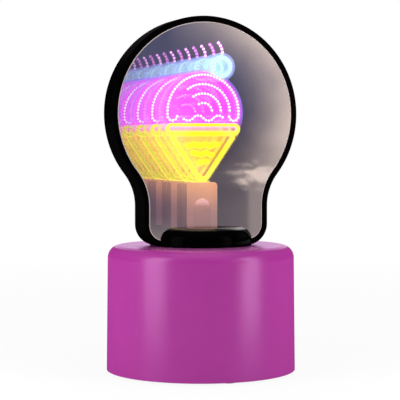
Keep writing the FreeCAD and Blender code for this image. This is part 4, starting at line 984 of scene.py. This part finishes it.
def wireConnector(name, look, node):
    low, high, middle = boxInMm(node)
    groove = look["groove"]
    shape = bmesh.new()
    # the upper part is the plug, and sits a little inside the header below it
    split = low.z + (high.z - low.z) * look["splitShare"]
    softBlock(shape, low, (high.x, high.y, split), look["bevel"])
    softBlock(shape, (low.x + groove, low.y + groove, split - look["overlap"]),
              (high.x - groove, high.y - groove, high.z), look["bevel"])
    for across in (low.x + look["ribInset"], high.x - look["ribInset"]):
        softBlock(shape, (across - look["ribWidth"] / 2, low.y, split - look["ribFoot"]),
                  (across + look["ribWidth"] / 2, high.y, high.z - look["ribDrop"]), look["ribBevel"])
    piece = smallPiece(name, shape, whitePlastic)
    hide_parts(node)
    wide, deep, thick = look["slot"]
    shape = bmesh.new()
    for side in (-1, 1):
        across = middle.x + side * (high.x - low.x) * look["slotShare"]
        softBlock(shape, (across - wide / 2, middle.y - deep / 2, high.z - thick),
                  (across + wide / 2, middle.y + deep / 2, high.z), look["slotBevel"])
    smallPiece(name + "Openings", shape, chipBlack)


# the switch knob, with grooves for a fingertip

knobLook = {
    "stemWidth": 3.0, "stemHeight": 1.8, "stemBevel": 0.08, "overlap": 0.1, "gap": 0.6,
    "grooves": 4, "pitch": 0.72, "half": 0.17, "depth": 0.26, "chamfer": 0.3,
}


def switchKnobGrip(look):
    low, high, middle = boxInMm("switch_knob")
    capFront = boxInMm("control_board")[1].y + look["gap"]
    edge, half = look["chamfer"], look["half"]
    plan = [(low.x, capFront), (high.x, capFront), (high.x, high.y - edge), (high.x - edge, high.y)]
    for across in reversed(inRow(middle.x, look["grooves"], look["pitch"])):
        plan += [(across + half, high.y), (across, high.y - look["depth"]), (across - half, high.y)]
    plan += [(low.x + edge, high.y), (low.x, high.y - edge)]
    shape = bmesh.new()
    skinned(shape, [[(x, y, up) for x, y in plan] for up in (low.z, high.z)])
    wide, tall = look["stemWidth"] / 2, look["stemHeight"] / 2
    softBlock(shape, (middle.x - wide, low.y, middle.z - tall),
              (middle.x + wide, capFront + look["overlap"], middle.z + tall), look["stemBevel"])
    piece = smallPiece("switchKnobGrip", shape, mattBlack, "switch_knob")
    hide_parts("switch_knob")


# contact pads on both faces of the socket's tongue

padLook = {
    "count": 8, "pitch": 0.62, "width": 0.3, "length": 3.2, "thick": 0.03, "bevel": 0.012,
    "tongueHalf": 0.35, "inset": 1.6,
}


def socketPads(look):
    _, high, middle = boxInMm("usb_socket")
    back = high.y - look["inset"]
    half, thick = look["width"] / 2, look["thick"]
    shape = bmesh.new()
    for side in (-1, 1):
        level = middle.z + side * look["tongueHalf"]
        for across in inRow(middle.x, look["count"], look["pitch"]):
            softBlock(shape, (across - half, back - look["length"], level - thick),
                      (across + half, back, level + thick), look["bevel"])
    smallPiece("socketContactPads", shape, copper)


# raised bars under the battery door, where the thumb pushes

doorGripLook = {
    "count": 6, "pitch": 1.7, "longest": 8.5, "shorter": 1.1, "half": 0.42, "rise": 0.42, "start": 4.0,
    "sink": 0.05, "sections": 16, "fullness": 12, "sharp": 60,
}


def doorGripBars(look):
    floor = boxInMm("battery_door")[0].z + look["sink"]
    rise = look["rise"] + look["sink"]
    sections = look["sections"]
    halfTurn = [math.radians(a) for a in range(0, 181, 20)]
    shape = bmesh.new()
    for index in range(look["count"]):
        level = look["start"] + index * look["pitch"]
        reach = look["longest"] - index * look["shorter"]
        rings = []
        for step in range(sections + 1):
            share = 0.999 * math.sin(math.pi * (step / sections - 0.5))
            slim = math.sqrt(1 - abs(share) ** look["fullness"])
            rings.append([(share * reach, level + look["half"] * slim * math.cos(a),
                           floor - rise * slim * math.sin(a)) for a in halfTurn])
        skinned(shape, rings)
    smallPiece("doorGripBars", shape, mattBlack, "battery_door", look["sharp"])


# legs of the driver chip, and the small parts beside it

chipLegLook = {
    "count": 4, "pitch": 1.15, "width": 0.42, "thick": 0.15,
    "path": ((-0.1, 0.75), (0.3, 0.75), (0.5, 0.075), (1.0, 0.075)),    # outward, and up from the board
}
smallPartLook = {
    "spots": ((-8.0, 29.5), (-8.0, 32.0), (-8.0, 34.5), (-8.0, 37.0), (5.6, 30.2), (5.6, 32.8)),
    "size": (2.0, 1.2, 0.5), "bevel": 0.05,
    "cap": 0.35, "capShare": 0.8, "proud": 0.02, "capBevel": 0.07,
}


def chipLegs(look):
    low, high, middle = boxInMm("driver_chip")
    half, thin = look["width"] / 2, look["thick"] / 2
    section = ((-half, -thin), (half, -thin), (half, thin), (-half, thin))
    shape = bmesh.new()
    for side, edge in ((-1, low.y), (1, high.y)):
        for across in inRow(middle.x, look["count"], look["pitch"]):
            skinned(shape, [[(across + x, edge + side * outward, low.z + up + z) for x, z in section]
                            for outward, up in look["path"]])
    smallPiece("driverChipLegs", shape, steel)


def boardSmallParts(look):
    top = boxInMm("control_board")[1].z
    bodies, caps = bmesh.new(), bmesh.new()
    length, width, height = look["size"]
    cap, proud = look["cap"], look["proud"]
    half = length / 2 - cap * look["capShare"]
    for across, depth in look["spots"]:
        softBlock(bodies, (across - half, depth - width / 2, top),
                  (across + half, depth + width / 2, top + height), look["bevel"])
        for start in (across - length / 2, across + length / 2 - cap):
            softBlock(caps, (start, depth - width / 2 - proud, top),
                      (start + cap, depth + width / 2 + proud, top + height + proud), look["capBevel"])
    smallPiece("boardSmallParts", bodies, chipBlack)
    smallPiece("boardSmallPartCaps", caps, steel)


wireConnector("ledConnectorPlug", connectorLook, "led_connector")
wireConnector("batteryConnectorPlug", connectorLook, "battery_connector")
switchKnobGrip(knobLook)
socketPads(padLook)
doorGripBars(doorGripLook)
chipLegs(chipLegLook)
boardSmallParts(smallPartLook)
print("small pieces made")


# studio

studio = {
    "camera": (-19.1, 0.789, 0.1263), "lens": 126.9,    # azimuth, distance, height
    "aim": (-0.0006, -0.0004, 0.0956), "lightAim": (0, 0, 0.09),
    "frontAmbient": 0.05, "backAmbient": 0.85, "skySpan": (0.1, 0.7, 0.05, 0.8),
    "floorTones": ((0.86, 0.86, 0.86), (0.88, 0.88, 0.88)), "floorRadius": 4, "floorDrop": 0.0001,
    "floorWhite": (0.1, 0.8, 0.9, 1.0),    # near the lamp a tenth of the paper's own light stays
    "backdrop": (158, 1.5, 0.6, (1.5, 1.2)), "backdropTones": ((0.84, 0.84, 0.84), (0.86, 0.86, 0.86)),
}
softboxes = {
    # name: azimuth, distance, height, size, power
    "leftSoftbox": (-80, 1.05, 0.42, (0.42, 1.0), 1.6),
    "rightSoftbox": (42, 1.05, 0.42, (0.42, 1.0), 1.152),
    "leftStrip": (-72, 0.3, 0.14, (0.15, 0.28), 0.638),
    "rightStrip": (42, 0.3, 0.14, (0.10, 0.28), 0.4872),    # the pane doesn't mirror it
    "lowStrip": (30, 0.3, 0.028, (0.05, 0.05), 0.0348),     # only the base mirrors it
    "topSoftbox": (-22, 0.15, 1.3, (1.1, 1.1), 4.2),
}


def aimed(thing, spot, target):
    thing.location = spot
    thing.rotation_mode = "QUATERNION"
    thing.rotation_quaternion = (Vector(target) - Vector(spot)).to_track_quat("-Z", "Y")


def atAngle(azimuth, distance, height):
    turn = math.radians(azimuth)
    return Vector((math.sin(turn) * distance, -math.cos(turn) * distance, height))


def makeCamera():
    camera = bpy.data.objects.new("camera", bpy.data.cameras.new("camera"))
    camera.data.lens = studio["lens"]
    camera.data.sensor_width = 36
    camera.data.clip_start = 0.01
    aimed(camera, atAngle(*studio["camera"]), studio["aim"])
    scene.collection.objects.link(camera)
    scene.camera = camera


def makeSoftbox(name, azimuth, distance, height, size, power):
    light = bpy.data.lights.new(name, "AREA")
    light.shape = "RECTANGLE"
    light.size, light.size_y = size
    light.energy = power
    box = bpy.data.objects.new(name, light)
    aimed(box, atAngle(azimuth, distance, height), studio["lightAim"])
    scene.collection.objects.link(box)


def flatCard(name, azimuth, distance, height, size):
    # an upright card that faces the lamp; its own X runs across and its Y up
    shape = bmesh.new()
    wide, tall = size[0] / 2, size[1] / 2
    corners = ((-wide, -tall, 0), (wide, -tall, 0), (wide, tall, 0), (-wide, tall, 0))
    shape.faces.new([shape.verts.new(corner) for corner in corners])
    card = meshObject(name, shape)
    card.location = atAngle(azimuth, distance, height)
    card.rotation_mode = "QUATERNION"
    card.rotation_quaternion = (-atAngle(azimuth, distance, 0)).to_track_quat("Z", "Y")
    return card


def rays(*kinds):
    # 1 for rays of the named kinds, otherwise 0
    return most(*(add("LightPath", output=kind) for kind in kinds))


def paleFinish(name, scale, detail, tones, whiteSpan=None):
    # matt paper that camera, glossy and transmission rays see as white
    material = startMaterial(name)
    white = rays("Is Camera Ray", "Is Glossy Ray", "Is Transmission Ray")
    if whiteSpan:
        away = awayFrom(surface("Position"), (0, 0, 0))
        white = times(span(away, *whiteSpan), white)
    paper = add("BsdfDiffuse", {"Color": mottled(noise(scale, detail), *tones)})
    return finish(material, mixShader(white, paper, glowShader((1, 1, 1))))


def makeFloor():
    shape = bmesh.new()
    bmesh.ops.create_circle(shape, cap_ends=True, segments=96, radius=studio["floorRadius"])
    floor = meshObject("studioFloor", shape)
    floor.location = (0, 0, -studio["floorDrop"])
    floor.data.materials.append(
        paleFinish("paleFloor", 30, 3, studio["floorTones"], studio["floorWhite"]))


def makeBackdrop():
    # white paper behind the lamp
    card = flatCard("studioBackdrop", *studio["backdrop"])
    card.data.materials.append(paleFinish("backdropPaper", 8, 2, studio["backdropTones"]))
    card.visible_diffuse = False


# the soft room that the pane mirrors; places are metres on its card, across and up from the floor

roomLook = {
    "card": (19.1, 1.0, 0.25, (0.5, 0.5)),
    "middle": (0.011, 0.168, 0), "ring": (0.055, 0.128), "ringPower": 1.6,    # darkest in the middle
    "dimHigh": (0.23, 0.23, 0.42), "dimLow": (0.225, 0.187, 0.255), "dimSpan": (0.12, 0.22),
    "pale": (2.35, 1.9, 1.7), "paleSide": (0.045, -0.06), "paleFoot": (0.07, 0.14, 0.1, 1.0),
    "drift": (0.008, 14),
    "cloud": (-0.0725, 0.088, 0), "cloudReach": (0.031, 0.0125, 1), "cloudSpan": (1.3, 0.45, 0.0, 0.9),
    "fluff": (0.6, 110), "fluffStretch": (0.5, 1.7, 1),
    # a pale pillar low on one side and a pale corner on the other: spans across and up
    "pillar": ((-0.0528, -0.0548, 0, 0.17), (0.088, 0.070)),
    "corner": ((0.030, 0.048, 0, 0.15), (0.036, 0.014)),
    # painted shade on the card, where the pane mirrors it behind the lit figure: its upper and lower
    # part
    "paintedShade": (((0.0008, 0.1845, 0), (0.0406, 0.033, 1)), ((0.0008, 0.1299, 0), (0.0305, 0.034, 1))),
    "paintedShadeTone": (0.02, 0.02, 0.02), "paintedShadeSpan": (1.0, 0.7, 0, 0.85),
}


def makeRoomCard(look):
    # dim and blue to one side, warm and pale to the other
    card = flatCard("roomCard", *look["card"])
    material = startMaterial("roomGlow")
    place = add("Mapping", {
        "Vector": add("TexCoord", output="Object"), "Location": (0, card.location.z, 0),
    })
    across, up = along(place, "X"), along(place, "Y")

    def away(middle, reach=(1, 1, 1)):
        return awayFrom(place, middle, [1 / size for size in reach])

    def patch(acrossSpan, upSpan):
        return times(span(across, *acrossSpan), span(up, *upSpan))

    reach, scale = look["drift"]
    drift = uneven(-reach, reach, scale)
    ring = span(plus(away(look["middle"]), drift), *look["ring"])
    belly = times(calc("POWER", ring, look["ringPower"]), span(plus(across, drift), *look["paleSide"]),
                  span(up, *look["paleFoot"]))
    low = plus(patch(*look["pillar"]), patch(*look["corner"]))
    reach, scale = look["fluff"]
    fluff = uneven(-reach, reach, scale, 4, 0.6, look["fluffStretch"], 0.12)
    cloud = span(plus(away(look["cloud"], look["cloudReach"]), fluff), *look["cloudSpan"])
    dim = blended(span(up, *look["dimSpan"]), look["dimLow"], look["dimHigh"])
    level = most(plus(belly, low), cloud)
    tone = blended(level, dim, look["pale"])
    # painted shade: the card is dark where the pane mirrors it behind the figure
    shade = most(*(span(away(middle, reach), *look["paintedShadeSpan"])
                   for middle, reach in look["paintedShade"]))
    shaded = blended(shade, tone, look["paintedShadeTone"])
    card.data.materials.append(finish(material, glowShader(shaded)))
    card.visible_camera = False
    card.visible_diffuse = False
    card.visible_transmission = False
    card.visible_shadow = False


def makeWorld():
    scene.world = startTree(bpy.data.worlds.new("studioWorld"))
    toward = add("TexCoord", output="Generated")
    sky = span(along(toward, "Z"), *studio["skySpan"])
    # dim behind the camera and lighter behind the lamp
    rear = -atAngle(studio["camera"][0], 1, 0)
    depth = add("VectorMath", {0: toward, 1: rear}, "Value", operation="DOT_PRODUCT")
    room = span(depth, -1, 1, studio["frontAmbient"], studio["backAmbient"])
    ambient = blended(rays("Is Glossy Ray"), room, sky, "FLOAT")
    strength = blended(rays("Is Camera Ray", "Is Transmission Ray"), ambient, 1.0, "FLOAT")
    glow = add("Background", {"Color": (1, 1, 1), "Strength": strength})
    finish(scene.world, glow, "OutputWorld")


makeCamera()
makeWorld()
makeFloor()
makeBackdrop()
makeRoomCard(roomLook)
for name, values in softboxes.items():
    makeSoftbox(name, *values)
scene.view_settings.view_transform = "Standard"
scene.cycles.max_bounces = 48
scene.cycles.glossy_bounces = 40
scene.cycles.transparent_max_bounces = 48
print("studio ready")
